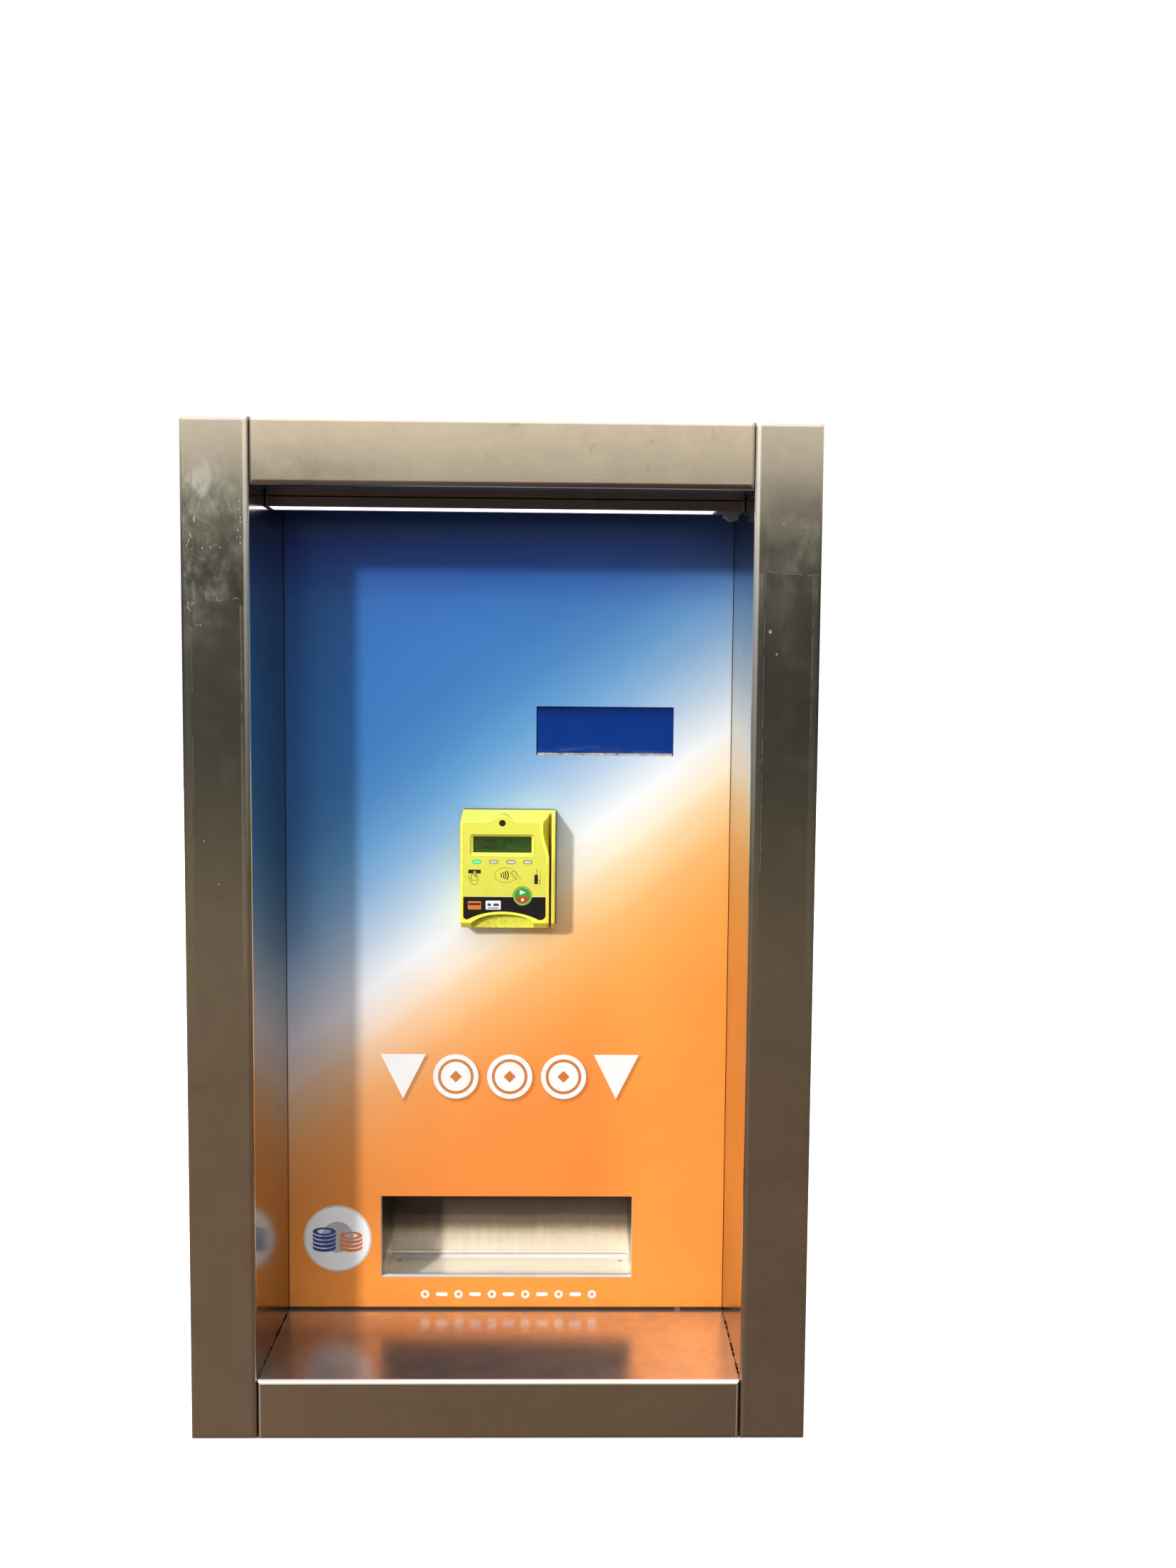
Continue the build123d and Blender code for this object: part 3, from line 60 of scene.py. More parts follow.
# --------------------------------------------------------------------------- materials
class Finish:
    """A node material with short names for the nodes that these finishes need."""

    def __init__(self, name):
        self.mat = bpy.data.materials.new(name)
        self.mat.use_nodes = True
        self.tree = self.mat.node_tree
        self.tree.nodes.clear()
        out = self.node("ShaderNodeOutputMaterial")
        self.bsdf = self.node("ShaderNodeBsdfPrincipled")
        self.tree.links.new(self.bsdf.outputs["BSDF"], out.inputs["Surface"])
        self.p = self.node("ShaderNodeTexCoord").outputs["Object"]
        parts = self.node("ShaderNodeSeparateXYZ")
        self.tree.links.new(self.p, parts.inputs[0])
        self.x, self.y, self.z = parts.outputs

    def node(self, kind, **props):
        n = self.tree.nodes.new(kind)
        for k, v in props.items():
            setattr(n, k, v)
        return n

    def feed(self, socket, value):
        if isinstance(value, bpy.types.NodeSocket):
            self.tree.links.new(value, socket)
        elif value is not None:
            socket.default_value = value

    def set(self, **values):
        for name, value in values.items():
            self.feed(self.bsdf.inputs[name.replace("_", " ")], value)
        return self

    def stretched(self, factors, shift=(0, 0, 0)):
        m = self.node("ShaderNodeMapping")
        self.feed(m.inputs["Vector"], self.p)
        m.inputs["Scale"].default_value = factors
        m.inputs["Location"].default_value = shift
        return m.outputs[0]

    def noise(self, scale, detail=3.0, rough=0.55, distort=0.0, where=None):
        n = self.node("ShaderNodeTexNoise")
        self.feed(n.inputs["Vector"], where or self.p)
        n.inputs["Scale"].default_value = scale
        n.inputs["Detail"].default_value = detail
        n.inputs["Roughness"].default_value = rough
        n.inputs["Distortion"].default_value = distort
        return n.outputs["Fac"]

    def cells(self, scale, feature="F1", out="Distance", where=None, metric="EUCLIDEAN", randomness=1.0):
        n = self.node("ShaderNodeTexVoronoi", feature=feature)
        if feature != "DISTANCE_TO_EDGE":
            n.distance = metric
        self.feed(n.inputs["Vector"], where or self.p)
        n.inputs["Scale"].default_value = scale
        n.inputs["Randomness"].default_value = randomness
        return n.outputs[out]

    def math(self, op, a, b=None, c=None, clamp=False):
        n = self.node("ShaderNodeMath", operation=op, use_clamp=clamp)
        for s, v in zip(n.inputs, (a, b, c)):
            self.feed(s, v)
        return n.outputs[0]

    def span(self, value, a, b, lo=0.0, hi=1.0, smooth=False):
        """value a..b mapped to lo..hi and held outside."""
        n = self.node("ShaderNodeMapRange", interpolation_type="SMOOTHSTEP" if smooth else "LINEAR")
        for s, v in zip(n.inputs, (value, a, b, lo, hi)):
            self.feed(s, v)
        return n.outputs[0]

    def ramp(self, fac, stops, ease="LINEAR"):
        n = self.node("ShaderNodeValToRGB")
        n.color_ramp.interpolation = ease
        e = n.color_ramp.elements
        while len(e) < len(stops):
            e.new(0.5)
        for el, (pos, col) in zip(e, stops):
            el.position = pos
            el.color = col if hasattr(col, "__len__") else (col, col, col, 1.0)
        self.feed(n.inputs[0], fac)
        return n.outputs["Color"]

    def mix(self, fac, a, b, blend="MIX"):
        n = self.node("ShaderNodeMix", data_type="RGBA", blend_type=blend)
        self.feed(n.inputs[0], fac)
        self.feed(n.inputs[6], a)
        self.feed(n.inputs[7], b)
        return n.outputs[2]

    def bump(self, height, strength, distance=0.001, under=None):
        n = self.node("ShaderNodeBump")
        n.inputs["Strength"].default_value = strength
        n.inputs["Distance"].default_value = distance
        self.feed(n.inputs["Height"], height)
        if under is not None:
            self.feed(n.inputs["Normal"], under)
        self.feed(self.bsdf.inputs["Normal"], n.outputs[0])
        return n.outputs[0]

    def inside(self, **ranges):
        """1 inside the given ranges of x, y or z (metres), 0 outside."""
        out = None
        for axis, (a, b) in ranges.items():
            m = self.math("COMPARE", getattr(self, axis), (a + b) / 2, abs(b - a) / 2)
            out = m if out is None else self.math("MULTIPLY", out, m)
        return out


def steel(name, tone="#b7ada0", low=0.15, high=0.22, along="z", smudges=1.0, wiped=False, sill=False):
    """Satin rolled stainless sheet with smudges, and wiped dirt near the top of the uprights."""
    f = Finish(name)
    grain_scale = {"z": (1, 1, 0.03), "x": (0.03, 1, 1), "y": (1, 0.03, 1)}[along]
    grain = f.noise(2600, 2, 0.5, where=f.stretched(grain_scale))
    fine = f.noise(900, 3, 0.6)
    cloud = f.noise(13, 4, 0.55, 0.8)
    patch = f.noise(34, 5, 0.6, 0.6)
    smear = f.math("MULTIPLY", f.span(cloud, 0.42, 0.68), f.span(patch, 0.35, 0.7))
    streaks = f.noise(240, 3, 0.6, where=f.stretched(grain_scale))
    base = f.mix(f.math("MULTIPLY", smear, 0.30 * smudges), srgb(tone), shade(srgb(tone), 1.16))
    base = f.mix(f.span(patch, 0.3, 0.8, 0.0, 0.22 * smudges), base, shade(srgb(tone), 0.84))
    base = f.mix(f.span(streaks, 0.35, 0.7, 0.0, 0.09), base, shade(srgb(tone), 0.76))
    haze = f.noise(9, 6, 0.66, 0.9)
    base = f.mix(f.span(haze, 0.40, 0.66, 0.0, 0.34), base, shade(srgb(tone), 0.68))
    base = f.mix(f.span(f.noise(70, 6, 0.7, 0.4), 0.35, 0.70, 0.0, 0.22), base, shade(srgb(tone), 1.25))
    stain = f.math("MULTIPLY", f.span(f.noise(38, 4, 0.55, 0.4), 0.63, 0.72, smooth=True), f.span(f.noise(7, 2), 0.42, 0.6))
    base = f.mix(f.math("MULTIPLY", stain, 0.34), base, shade(srgb(tone), 0.5))
    rough = f.math("MULTIPLY_ADD", smear, (high - low) * smudges, low)
    rough = f.math("MULTIPLY_ADD", fine, 0.006, rough)
    height = grain
    metallic = 1.0
    front = f.span(f.y, -0.1535, -0.1538)
    if wiped:
        side = f.math("ABSOLUTE", f.x)
        band = f.span(f.z, up(770), up(850), smooth=True)
        top = f.span(f.z, up(930), up(985), 1.0, 0.15, smooth=True)
        where = f.math("MULTIPLY", f.math("MULTIPLY", band, top), front)
        swirl = f.noise(20, 9, 0.68, 0.5)
        streak = f.noise(75, 6, 0.68, 0.9, where=f.stretched((1.0, 1, 0.45), (3.1, 0, 1.7)))
        wipe = f.math("MULTIPLY", f.span(swirl, 0.40, 0.66, smooth=True), f.span(streak, 0.28, 0.72))
        outer = f.span(side, 0.262, 0.297, 0.75, 1.25)
        wipe = f.math("MULTIPLY", f.math("MULTIPLY", wipe, where), outer, clamp=True)
        left = f.span(f.x, 0.0, -0.1, 0.45, 1.0)
        wipe = f.math("MULTIPLY", wipe, left)
        # painted dark reflection: between the wiped patches the front of the uprights is made darker and grey-green
        # from 790 to 968 mm, mottled and stronger on the left
        grime_and_painted_shade = f.math("MULTIPLY", f.span(f.z, up(790), up(850), smooth=True), f.span(f.z, up(968), up(915), smooth=True))
        grime_and_painted_shade = f.math("MULTIPLY", f.math("MULTIPLY", grime_and_painted_shade, front), f.span(f.noise(30, 7, 0.66, 0.3), 0.30, 0.66, 0.62, 1.0))
        grime_and_painted_shade = f.math("MULTIPLY", grime_and_painted_shade, f.span(f.x, -0.1, 0.1, 1.0, 0.62))
        base = f.mix(grime_and_painted_shade, base, (0.46, 0.50, 0.48, 1.0), "MULTIPLY")
        base = f.mix(f.math("MULTIPLY", wipe, 0.62), base, srgb("#dfe0d4"))
        rough = f.math("MULTIPLY_ADD", wipe, 0.11, rough)
        metallic = f.math("SUBTRACT", 1.0, f.math("MULTIPLY", wipe, 0.16))
        # outline of the protective film that covered the uprights lower down
        lower = f.math("MAXIMUM", f.math("MULTIPLY", f.span(f.z, up(823), up(821)), f.span(f.x, 0, -0.01)),
                       f.math("MULTIPLY", f.span(f.z, up(858.4), up(857.4)), f.span(f.x, 0, 0.01)))
        lower = f.math("MULTIPLY", lower, f.span(f.z, up(420), up(640)))
        film = f.math("MULTIPLY", f.span(side, 0.2490, 0.2496), f.span(side, 0.2962, 0.2952))
        lower = f.math("MULTIPLY", f.math("MULTIPLY", lower, front), f.span(f.noise(16, 4, 0.6), 0.3, 0.6, 0.55, 1.0))
        base = f.mix(f.math("MULTIPLY", f.math("MULTIPLY", lower, film), 0.26), base, shade(srgb(tone), 0.66))
        base = f.mix(f.math("MULTIPLY", f.math("MULTIPLY", lower, f.math("SUBTRACT", 1.0, film)), 0.7), base, shade(srgb(tone), 1.35))
        # the inner bend catches the light in its upper half
        bend = f.math("MULTIPLY", f.span(side, 0.2454, 0.2440), f.span(f.y, -0.1490, -0.1505))
        bend = f.math("MULTIPLY", bend, f.span(f.z, up(560), up(900), 0.0, 1.0))
        base = f.mix(f.math("MULTIPLY", bend, 0.8), base, srgb("#eee6d6"))
        metallic = f.math("SUBTRACT", metallic, f.math("MULTIPLY", bend, 0.42), clamp=True)
        # dark seam beside the panel
        seam = f.math("MULTIPLY", f.span(side, 0.2440, 0.2430), f.span(f.y, -0.0052, -0.0044))
        base = f.mix(seam, base, f.mix(f.span(f.z, up(420), up(640)), srgb("#3a2517"), srgb("#17273a")))
        metallic = f.math("MULTIPLY", metallic, f.math("SUBTRACT", 1.0, f.math("MULTIPLY", seam, 0.8)))
    # light on the bend along the top edge
    crown = f.math("MULTIPLY", f.span(f.z, up(995.2), up(997)), f.span(f.y, -0.1490, -0.1500))
    base = f.mix(f.math("MULTIPLY", crown, 0.8), base, srgb("#f6efe4"))
    metallic = f.math("SUBTRACT", metallic, f.math("MULTIPLY", crown, 0.35), clamp=True)
    if sill:
        # the flat top of the sill is worn and dusty; its colour is also painted darker to the left and lighter to the
        # right and towards the panel, as painted shade and light
        flat_top = f.math("MULTIPLY", f.span(f.z, up(62), up(61)), f.span(f.y, -0.1515, -0.1490))
        dust = f.span(f.noise(48, 5, 0.65, 0.5), 0.35, 0.75)
        rough = f.math("MULTIPLY_ADD", f.math("MULTIPLY", flat_top, dust), 0.05, rough)
        rough = f.math("MULTIPLY_ADD", flat_top, 0.065, rough)
        metallic = f.math("SUBTRACT", metallic, f.math("MULTIPLY", flat_top, f.math("MULTIPLY_ADD", dust, 0.06, 0.10)))
        sill_top_light_and_shade = f.ramp(f.span(f.x, -0.24, 0.24), [(0.0, (0.42, 0.35, 0.31, 1)), (0.25, (0.46, 0.40, 0.36, 1)), (0.5, (0.52, 0.47, 0.43, 1)),
                                                 (0.75, (0.70, 0.64, 0.57, 1)), (0.92, (1.0, 0.95, 0.86, 1)), (1.0, (1.0, 0.95, 0.86, 1))])
        near = f.mix(f.span(f.y, -0.060, -0.012), sill_top_light_and_shade, srgb("#e4dccf"))
        base = f.mix(flat_top, base, f.mix(f.math("MULTIPLY", dust, 0.22), near, srgb("#57402f")))
        # painted highlight along the front bend of the sill
        nose_highlight = f.math("MULTIPLY", f.math("MULTIPLY", f.span(f.z, up(57.4), up(58.4)), f.span(f.z, up(62), up(61))), f.span(f.y, -0.1492, -0.1502))
        base = f.mix(nose_highlight, base, srgb("#fff8ee"))
        metallic = f.math("SUBTRACT", metallic, f.math("MULTIPLY", nose_highlight, 0.55), clamp=True)
        # painted reflection: the header, above 900 to 930 mm, is made a tenth lighter
        base = f.mix(f.span(f.z, up(900), up(930)), base, (1.10, 1.09, 1.08, 1.0), "MULTIPLY")
        # dusty left end of the header, and painted shade on its underside
        left_end = f.math("MULTIPLY", f.span(f.x, -0.075, -0.20), f.span(f.z, up(982), up(952)))
        left_end = f.math("MULTIPLY", f.math("MULTIPLY", left_end, f.span(f.z, up(930), up(936))), f.span(f.noise(24, 5, 0.6, 0.6), 0.35, 0.65))
        base = f.mix(f.math("MULTIPLY", left_end, 0.55), base, shade(srgb(tone), 0.55))
        # painted shade on the lower bend of the header, stronger to the right
        hem_shade = f.math("MULTIPLY", f.inside(z=(up(935.5), up(941.5))), f.span(f.y, -0.1490, -0.1495))
        base = f.mix(f.math("MULTIPLY", hem_shade, f.span(f.x, -0.15, 0.10, 0.25, 0.75)), base, srgb("#6f696c"))
        # painted shade on the rounded ends of the header
        ends = f.math("MULTIPLY", f.span(f.math("ABSOLUTE", f.x), 0.2352, 0.2388, smooth=True), f.span(f.z, up(934), up(938)))
        base = f.mix(f.math("MULTIPLY", ends, 0.55), base, srgb("#5a554d"))
        # light on the folded ends of the sill
        glint = f.math("MULTIPLY", f.math("COMPARE", f.math("ABSOLUTE", f.x), 0.2369, 0.0007), f.span(f.z, up(62), up(60)))
        glint = f.math("MULTIPLY", glint, f.span(f.y, -0.1490, -0.1500))
        base = f.mix(f.math("MULTIPLY", glint, 0.6), base, srgb("#cdbba6"))
        metallic = f.math("SUBTRACT", metallic, f.math("MULTIPLY", glint, 0.3), clamp=True)
        # painted shade: the underside of the header is made dark
        under = f.math("MULTIPLY", f.inside(z=(up(930), up(936.8))), f.span(f.y, -0.1495, -0.130))
        base = f.mix(f.math("MULTIPLY", under, 0.95), base, srgb("#34333f"))
    if wiped:
        # painted shade: the reveals darken towards their foot
        reveal_foot_shade = f.math("MULTIPLY", f.span(f.y, -0.1520, -0.1490), f.span(f.z, up(240), up(70), 0.0, 0.62, smooth=True))
        base = f.mix(reveal_foot_shade, base, srgb("#4a3a2e"))
    f.set(Base_Color=base, Roughness=rough, Metallic=metallic)
    f.bump(height, 0.018, 0.0003)
    return f.mat


def tray_steel():
    """Tray sheet: dusty, with painted light low down and painted shadow with grimy runs over the upper part of the back
    wall.
    """
    f = Finish("steel_tray")
    cloud = f.noise(26, 5, 0.6, 0.5)
    run = f.noise(160, 3, 0.6, where=f.stretched((1, 1, 0.05)))
    bright = f.mix(f.span(cloud, 0.35, 0.7), srgb("#efe3d0"), srgb("#dfd2be"))
    # painted light and shadow on the back wall: white at 94 mm, darkening to deep grey above 124 mm, along a wavering
    # line
    wander_z = f.math("MULTIPLY_ADD", f.math("SUBTRACT", cloud, 0.5), 0.006, f.z)
    light_to_shadow_stops = ((94, "#ffffff"), (98, "#fbfaf6"), (104, "#d9d2c6"), (108, "#b3a99c"), (113, "#8f867c"), (120, "#857c73"),
            (124, "#665d57"), (134, "#564d49"), (150, "#4c4441"))
    grime_and_painted_shade = f.ramp(f.span(wander_z, up(94), up(150)), [((h - 94) / 56.0, srgb(c)) for h, c in light_to_shadow_stops])
    grime_and_painted_shade = f.mix(f.span(run, 0.35, 0.7, 0.0, 0.16), grime_and_painted_shade, (0.5, 0.48, 0.46, 1.0), "MULTIPLY")
    inner = f.span(f.y, 0.002, 0.012)
    base = f.mix(inner, bright, f.mix(1.0, bright, grime_and_painted_shade, "MULTIPLY"))
    corner = f.math("MULTIPLY", f.inside(z=(up(74.6), up(76.6))), f.span(f.y, 0.0985, 0.1005))
    base = f.mix(f.math("MULTIPLY", corner, 0.75), base, srgb("#a29bbf"))
    # painted light: the floor of the tray is made whiter
    floor = f.span(f.z, up(75.5), up(73.5))
    base = f.mix(f.math("MULTIPLY", floor, 0.75), base, srgb("#fff8ec"))
    shadow_line = f.math("MULTIPLY", f.span(f.y, 0.0115, 0.0105), f.span(f.z, up(80), up(84)))
    base = f.mix(f.math("MULTIPLY", shadow_line, 0.8), base, srgb("#5f5048"))
    # painted highlight: the front lip is made white
    lip_highlight = f.span(f.y, 0.006, 0.002)
    base = f.mix(lip_highlight, base, srgb("#ffffff"))
    metallic = f.math("SUBTRACT", f.span(cloud, 0.3, 0.7, 0.60, 0.50), f.math("MULTIPLY", lip_highlight, 0.4))
    metallic = f.math("SUBTRACT", metallic, f.math("MULTIPLY", floor, 0.25), clamp=True)
    f.set(Base_Color=base, Roughness=f.span(cloud, 0.3, 0.7, 0.26, 0.34), Metallic=metallic)
    return f.mat


def plastic(name, tone, rough=0.42, grain=1800, depth=0.08, dirt=0.15, gloss=0.5, tone2=None):
    """Moulded plastic with a fine spark-eroded grain and uneven ageing."""
    f = Finish(name)
    cloud = f.noise(45, 4, 0.6, 0.4)
    base = f.mix(f.span(cloud, 0.35, 0.7, 0.0, 1.0), srgb(tone), srgb(tone2) if tone2 else shade(srgb(tone), 1 - dirt))
    grit = f.noise(grain, 3, 0.6)
    f.set(Base_Color=base, Roughness=f.math("MULTIPLY_ADD", cloud, 0.12, rough - 0.06))
    f.bsdf.inputs["Specular IOR Level"].default_value = gloss
    f.bump(grit, depth, 0.0003)
    return f.mat


def zinc(name, tone="#b9bdc0", spangle=120):
    """Zinc-coated sheet: flat crystals of slightly different brightness, with white bloom."""
    f = Finish(name)
    warped = f.stretched((1, 1, 1))
    flake = f.cells(spangle, out="Color", where=warped)
    bright = f.node("ShaderNodeSeparateColor")
    f.feed(bright.inputs[0], flake)
    base = f.mix(bright.outputs[0], shade(srgb(tone), 0.88), shade(srgb(tone), 1.10))
    bloom = f.span(f.noise(24, 5, 0.62, 0.5), 0.58, 0.72)
    base = f.mix(f.math("MULTIPLY", bloom, 0.35), base, srgb("#d4d6d4"))
    facing = f.node("ShaderNodeSeparateXYZ")
    f.feed(facing.inputs[0], f.node("ShaderNodeTexCoord").outputs["Normal"])
    # painted shade: the zinc seen through the gap beside the panel takes shaded tones of the print, brown below and
    # blue above
    gap_print_shade = f.math("MULTIPLY", f.inside(x=(-0.2445, 0.2445), z=(up(58), up(942))), f.span(f.y, 0.012, 0.006))
    gap_print_shade = f.math("MULTIPLY", gap_print_shade, f.span(facing.outputs[1], -0.4, -0.8))
    base = f.mix(gap_print_shade, base, f.mix(f.span(f.z, up(420), up(640)), srgb("#6f4527"), srgb("#25405f")))
    rough = f.math("MULTIPLY_ADD", bright.outputs[1], 0.08, 0.36)
    rough = f.math("MULTIPLY_ADD", bloom, 0.2, rough)
    f.set(Base_Color=base, Roughness=rough, Metallic=f.math("SUBTRACT", 0.62, f.math("MULTIPLY", bloom, 0.2)))
    f.bump(f.noise(420, 3, 0.5), 0.10, 0.0005)
    return f.mat


def polished(name, tone, rough=0.16, scratch=0.3):
    f = Finish(name)
    wear = f.noise(260, 4, 0.65, 0.5)
    base = f.mix(f.span(wear, 0.4, 0.75), srgb(tone), shade(srgb(tone), 0.78))
    f.set(Base_Color=base, Roughness=f.math("MULTIPLY_ADD", wear, scratch, rough), Metallic=1.0)
    f.bump(f.noise(1500, 2, 0.5), 0.05, 0.0003)
    return f.mat


def foam(name):
    f = Finish(name)
    pores = f.cells(900)
    base = f.mix(f.span(pores, 0.1, 0.6), srgb("#101010"), srgb("#2c2b2a"))
    f.set(Base_Color=base, Roughness=0.92)
    f.bump(pores, 0.5, 0.0006)
    return f.mat


def printed_film(name="panel_print", rim=False):
    """Blue to white to orange print under a glossy laminate; with rim it only covers the front of a steel sheet."""
    f = Finish(name)
    # distance above the slanted white line, in mm
    s = f.math("MULTIPLY_ADD", f.x, -740.0, f.math("MULTIPLY_ADD", f.z, 1000.0, 500.0 - 529.0))
    s = f.math("MULTIPLY", s, 0.804)
    s = f.math("ADD", s, f.span(f.noise(6, 2, 0.5), 0, 1, -7.0, 7.0))
    stops = (
        (-300, "#ff9a42"), (-237, "#ff9d46"), (-197, "#fea049"), (-157, "#ffa850"), (-130, "#feae5b"),
        (-95, "#fdbc72"), (-77, "#fecb8a"), (-50, "#fedcae"), (-37, "#fdeacb"), (0, "#f4f6f4"),
        (48, "#b9cfe3"), (88, "#8bb2da"), (128, "#659fd0"), (169, "#4f8ac6"), (209, "#4180c3"), (300, "#3b7ac4"),
    )
    lo, hi = -300.0, 300.0
    colour = f.ramp(f.span(s, lo, hi), [((v - lo) / (hi - lo), srgb(c)) for v, c in stops])
    tone = f.noise(9, 3, 0.5)
    colour = f.mix(f.span(tone, 0.35, 0.7, 0.0, 0.05), colour, (0.0, 0.0, 0.0, 1.0))
    # the print is a little deeper below the pictograms; towards its top edge it carries painted shade with a lavender
    # tint of the lamp's light
    low_part = f.math("MULTIPLY", f.span(f.z, up(500), up(300), smooth=True), f.span(f.z, up(95), up(190), smooth=True))
    low_part = f.math("MULTIPLY", low_part, f.span(f.x, 0.160, 0.080, smooth=True))
    colour = f.mix(low_part, colour, (0.93, 0.80, 0.87, 1.0), "MULTIPLY")
    colour = f.mix(f.math("MULTIPLY", low_part, f.span(f.x, -0.05, -0.15)), colour, (0.92, 0.95, 0.95, 1.0), "MULTIPLY")
    top = ((790, (1, 1, 1)), (820, (1, 0.97, 1)), (840, (0.97, 0.90, 0.97)), (860, (0.76, 0.69, 0.84)), (880, (0.65, 0.56, 0.80)),
           (900, (0.66, 0.47, 0.70)), (920, (0.90, 0.53, 0.62)), (935, (0.90, 0.53, 0.62)))
    top_shade_tint = f.ramp(f.span(f.z, up(790), up(935)), [((h - 790) / 145.0, (c[0], c[1], c[2], 1.0)) for h, c in top])
    colour = f.mix(1.0, colour, top_shade_tint, "MULTIPLY")
    # painted shade along the left edge of the print, from 420 to 500 mm upward
    left_edge_shade = f.math("MULTIPLY", f.span(f.x, -0.198, -0.234, smooth=True), f.span(f.z, up(420), up(500), smooth=True))
    colour = f.mix(left_edge_shade, colour, (0.82, 0.72, 0.78, 1.0), "MULTIPLY")
    # print raster and fine dust
    raster = f.noise(2600, 1, 0.5)
    colour = f.mix(f.span(raster, 0.3, 0.7, 0.0, 0.035), colour, (0.02, 0.02, 0.03, 1))
    dust = f.math("MULTIPLY", f.span(f.cells(420), 0.075, 0.03), f.span(f.noise(22, 3), 0.5, 0.62))
    colour = f.mix(f.math("MULTIPLY", dust, 0.35), colour, srgb("#e9e2d4"))
    # soft printed shadow under the row of pictograms
    zi = up(322.75 - 2.6)
    total = None
    for cx in (-56.3, 2.7, 61.7):
        dx = f.math("SUBTRACT", f.x, (cx + 2.4) / 1000)
        dz = f.math("SUBTRACT", f.z, zi)
        d = f.math("SQRT", f.math("ADD", f.math("MULTIPLY", dx, dx), f.math("MULTIPLY", dz, dz)))
        m = f.span(d, 0.0275, 0.0235, smooth=True)
        total = m if total is None else f.math("MAXIMUM", total, m)
    for cx in (-113.9, 119.3):
        dx = f.math("ABSOLUTE", f.math("SUBTRACT", f.x, (cx + 2.4) / 1000))
        dz = f.math("SUBTRACT", f.z, zi)
        slant = f.math("SUBTRACT", f.math("MULTIPLY_ADD", dx, 0.894, -0.0), f.math("MULTIPLY_ADD", dz, 0.447, 0.01106))
        edge = f.math("MAXIMUM", slant, f.math("SUBTRACT", dz, 0.0247))
        total = f.math("MAXIMUM", total, f.span(edge, 0.0028, -0.0012, smooth=True))
    colour = f.mix(f.math("MULTIPLY", total, 0.42), colour, srgb("#7a4a2a"))
    # grime towards the foot of the panel
    foot = f.math("MULTIPLY", f.span(f.z, up(92), up(62), smooth=True), f.span(f.noise(30, 4, 0.6), 0.35, 0.7))
    colour = f.mix(f.math("MULTIPLY", foot, 0.22), colour, srgb("#6a4426"))
    ripple = f.noise(14, 2, 0.5)
    orange_peel = f.noise(700, 2, 0.5)
    if rim:
        metal = f.span(f.y, -0.0039, -0.0036)
        side = f.math("MULTIPLY", metal, f.span(f.math("ABSOLUTE", f.x), 0.2405, 0.2410))
        colour = f.mix(metal, colour, f.mix(f.span(f.noise(30, 4), 0.3, 0.7), srgb("#b4b2ac"), srgb("#9b9994")))
        # painted shade: the cut edge of the sheet takes shaded tones of the print, brown below and blue above
        colour = f.mix(side, colour, f.mix(f.span(f.z, up(420), up(640)), srgb("#53351f"), srgb("#1b3049")))
        # painted highlight: white along the lower edge of the tray opening
        mouth_highlight = f.math("MULTIPLY", metal, f.inside(x=(-0.145, 0.145), z=(up(94), up(97.5))))
        colour = f.mix(mouth_highlight, colour, srgb("#ffffff"))
        f.set(Metallic=f.math("SUBTRACT", f.math("SUBTRACT", metal, side), mouth_highlight, clamp=True))
    f.set(Base_Color=colour, Roughness=f.span(f.noise(18, 4, 0.6), 0.3, 0.75, 0.30, 0.44))
    f.bsdf.inputs["Specular IOR Level"].default_value = 0.22
    f.bump(f.math("MULTIPLY_ADD", ripple, 3.0, f.math("MULTIPLY", orange_peel, 0.06)), 0.10, 0.0008)
    return f.mat


def vinyl(name, tone="#fbfaf7"):
    f = Finish(name)
    cloud = f.noise(40, 4, 0.6)
    base = f.mix(f.span(cloud, 0.4, 0.8, 0.0, 0.25), srgb(tone), srgb("#d9d4cb"))
    f.set(Base_Color=base, Roughness=f.span(cloud, 0.3, 0.7, 0.32, 0.45))
    f.bump(f.noise(700, 2), 0.05, 0.0003)
    return f.mat


def reader_shell():
    f = Finish("reader_shell_yellow")
    cloud = f.noise(55, 3, 0.55)
    base = f.mix(f.span(cloud, 0.3, 0.75), srgb("#fdfb5c"), srgb("#f9f552"))
    # painted shade: darker and warmer at the right, beside the slot, low down
    slot_side_shade = f.math("MULTIPLY", f.span(f.x, 0.0405, 0.043), f.span(f.z, up(580), up(560)))
    base = f.mix(slot_side_shade, base, (0.84, 0.74, 0.80, 1.0), "MULTIPLY")
    # dirt gathers in the swipe slot; the scoop carries painted shade
    slot = f.inside(x=(0.0440, 0.0474), y=(-0.0412, -0.018))
    grime_and_painted_shade = f.math("MULTIPLY", slot, f.span(f.noise(160, 4, 0.6, where=f.stretched((1, 1, 0.25))), 0.25, 0.7, 0.25, 0.85))
    base = f.mix(grime_and_painted_shade, base, srgb("#a86a08"))
    # painted shade in the scoop, mottled and stronger on its left
    scoop_shade = f.math("MULTIPLY", f.inside(x=(-0.0376, 0.029), z=(up(488), up(510)), y=(-0.0325, -0.029)), f.span(f.noise(260, 4), 0.35, 0.7, 0.15, 0.60))
    base = f.mix(f.math("MULTIPLY", scoop_shade, f.span(f.x, 0.02, -0.03, 0.35, 1.0)), base, srgb("#8a7c20"))
    f.set(Base_Color=base, Roughness=f.span(cloud, 0.3, 0.7, 0.30, 0.40))
    f.bsdf.inputs["Subsurface Weight"].default_value = 0.0
    f.bsdf.inputs["Specular IOR Level"].default_value = 0.45
    f.bump(f.noise(2400, 3, 0.6), 0.10, 0.0003)
    return f.mat


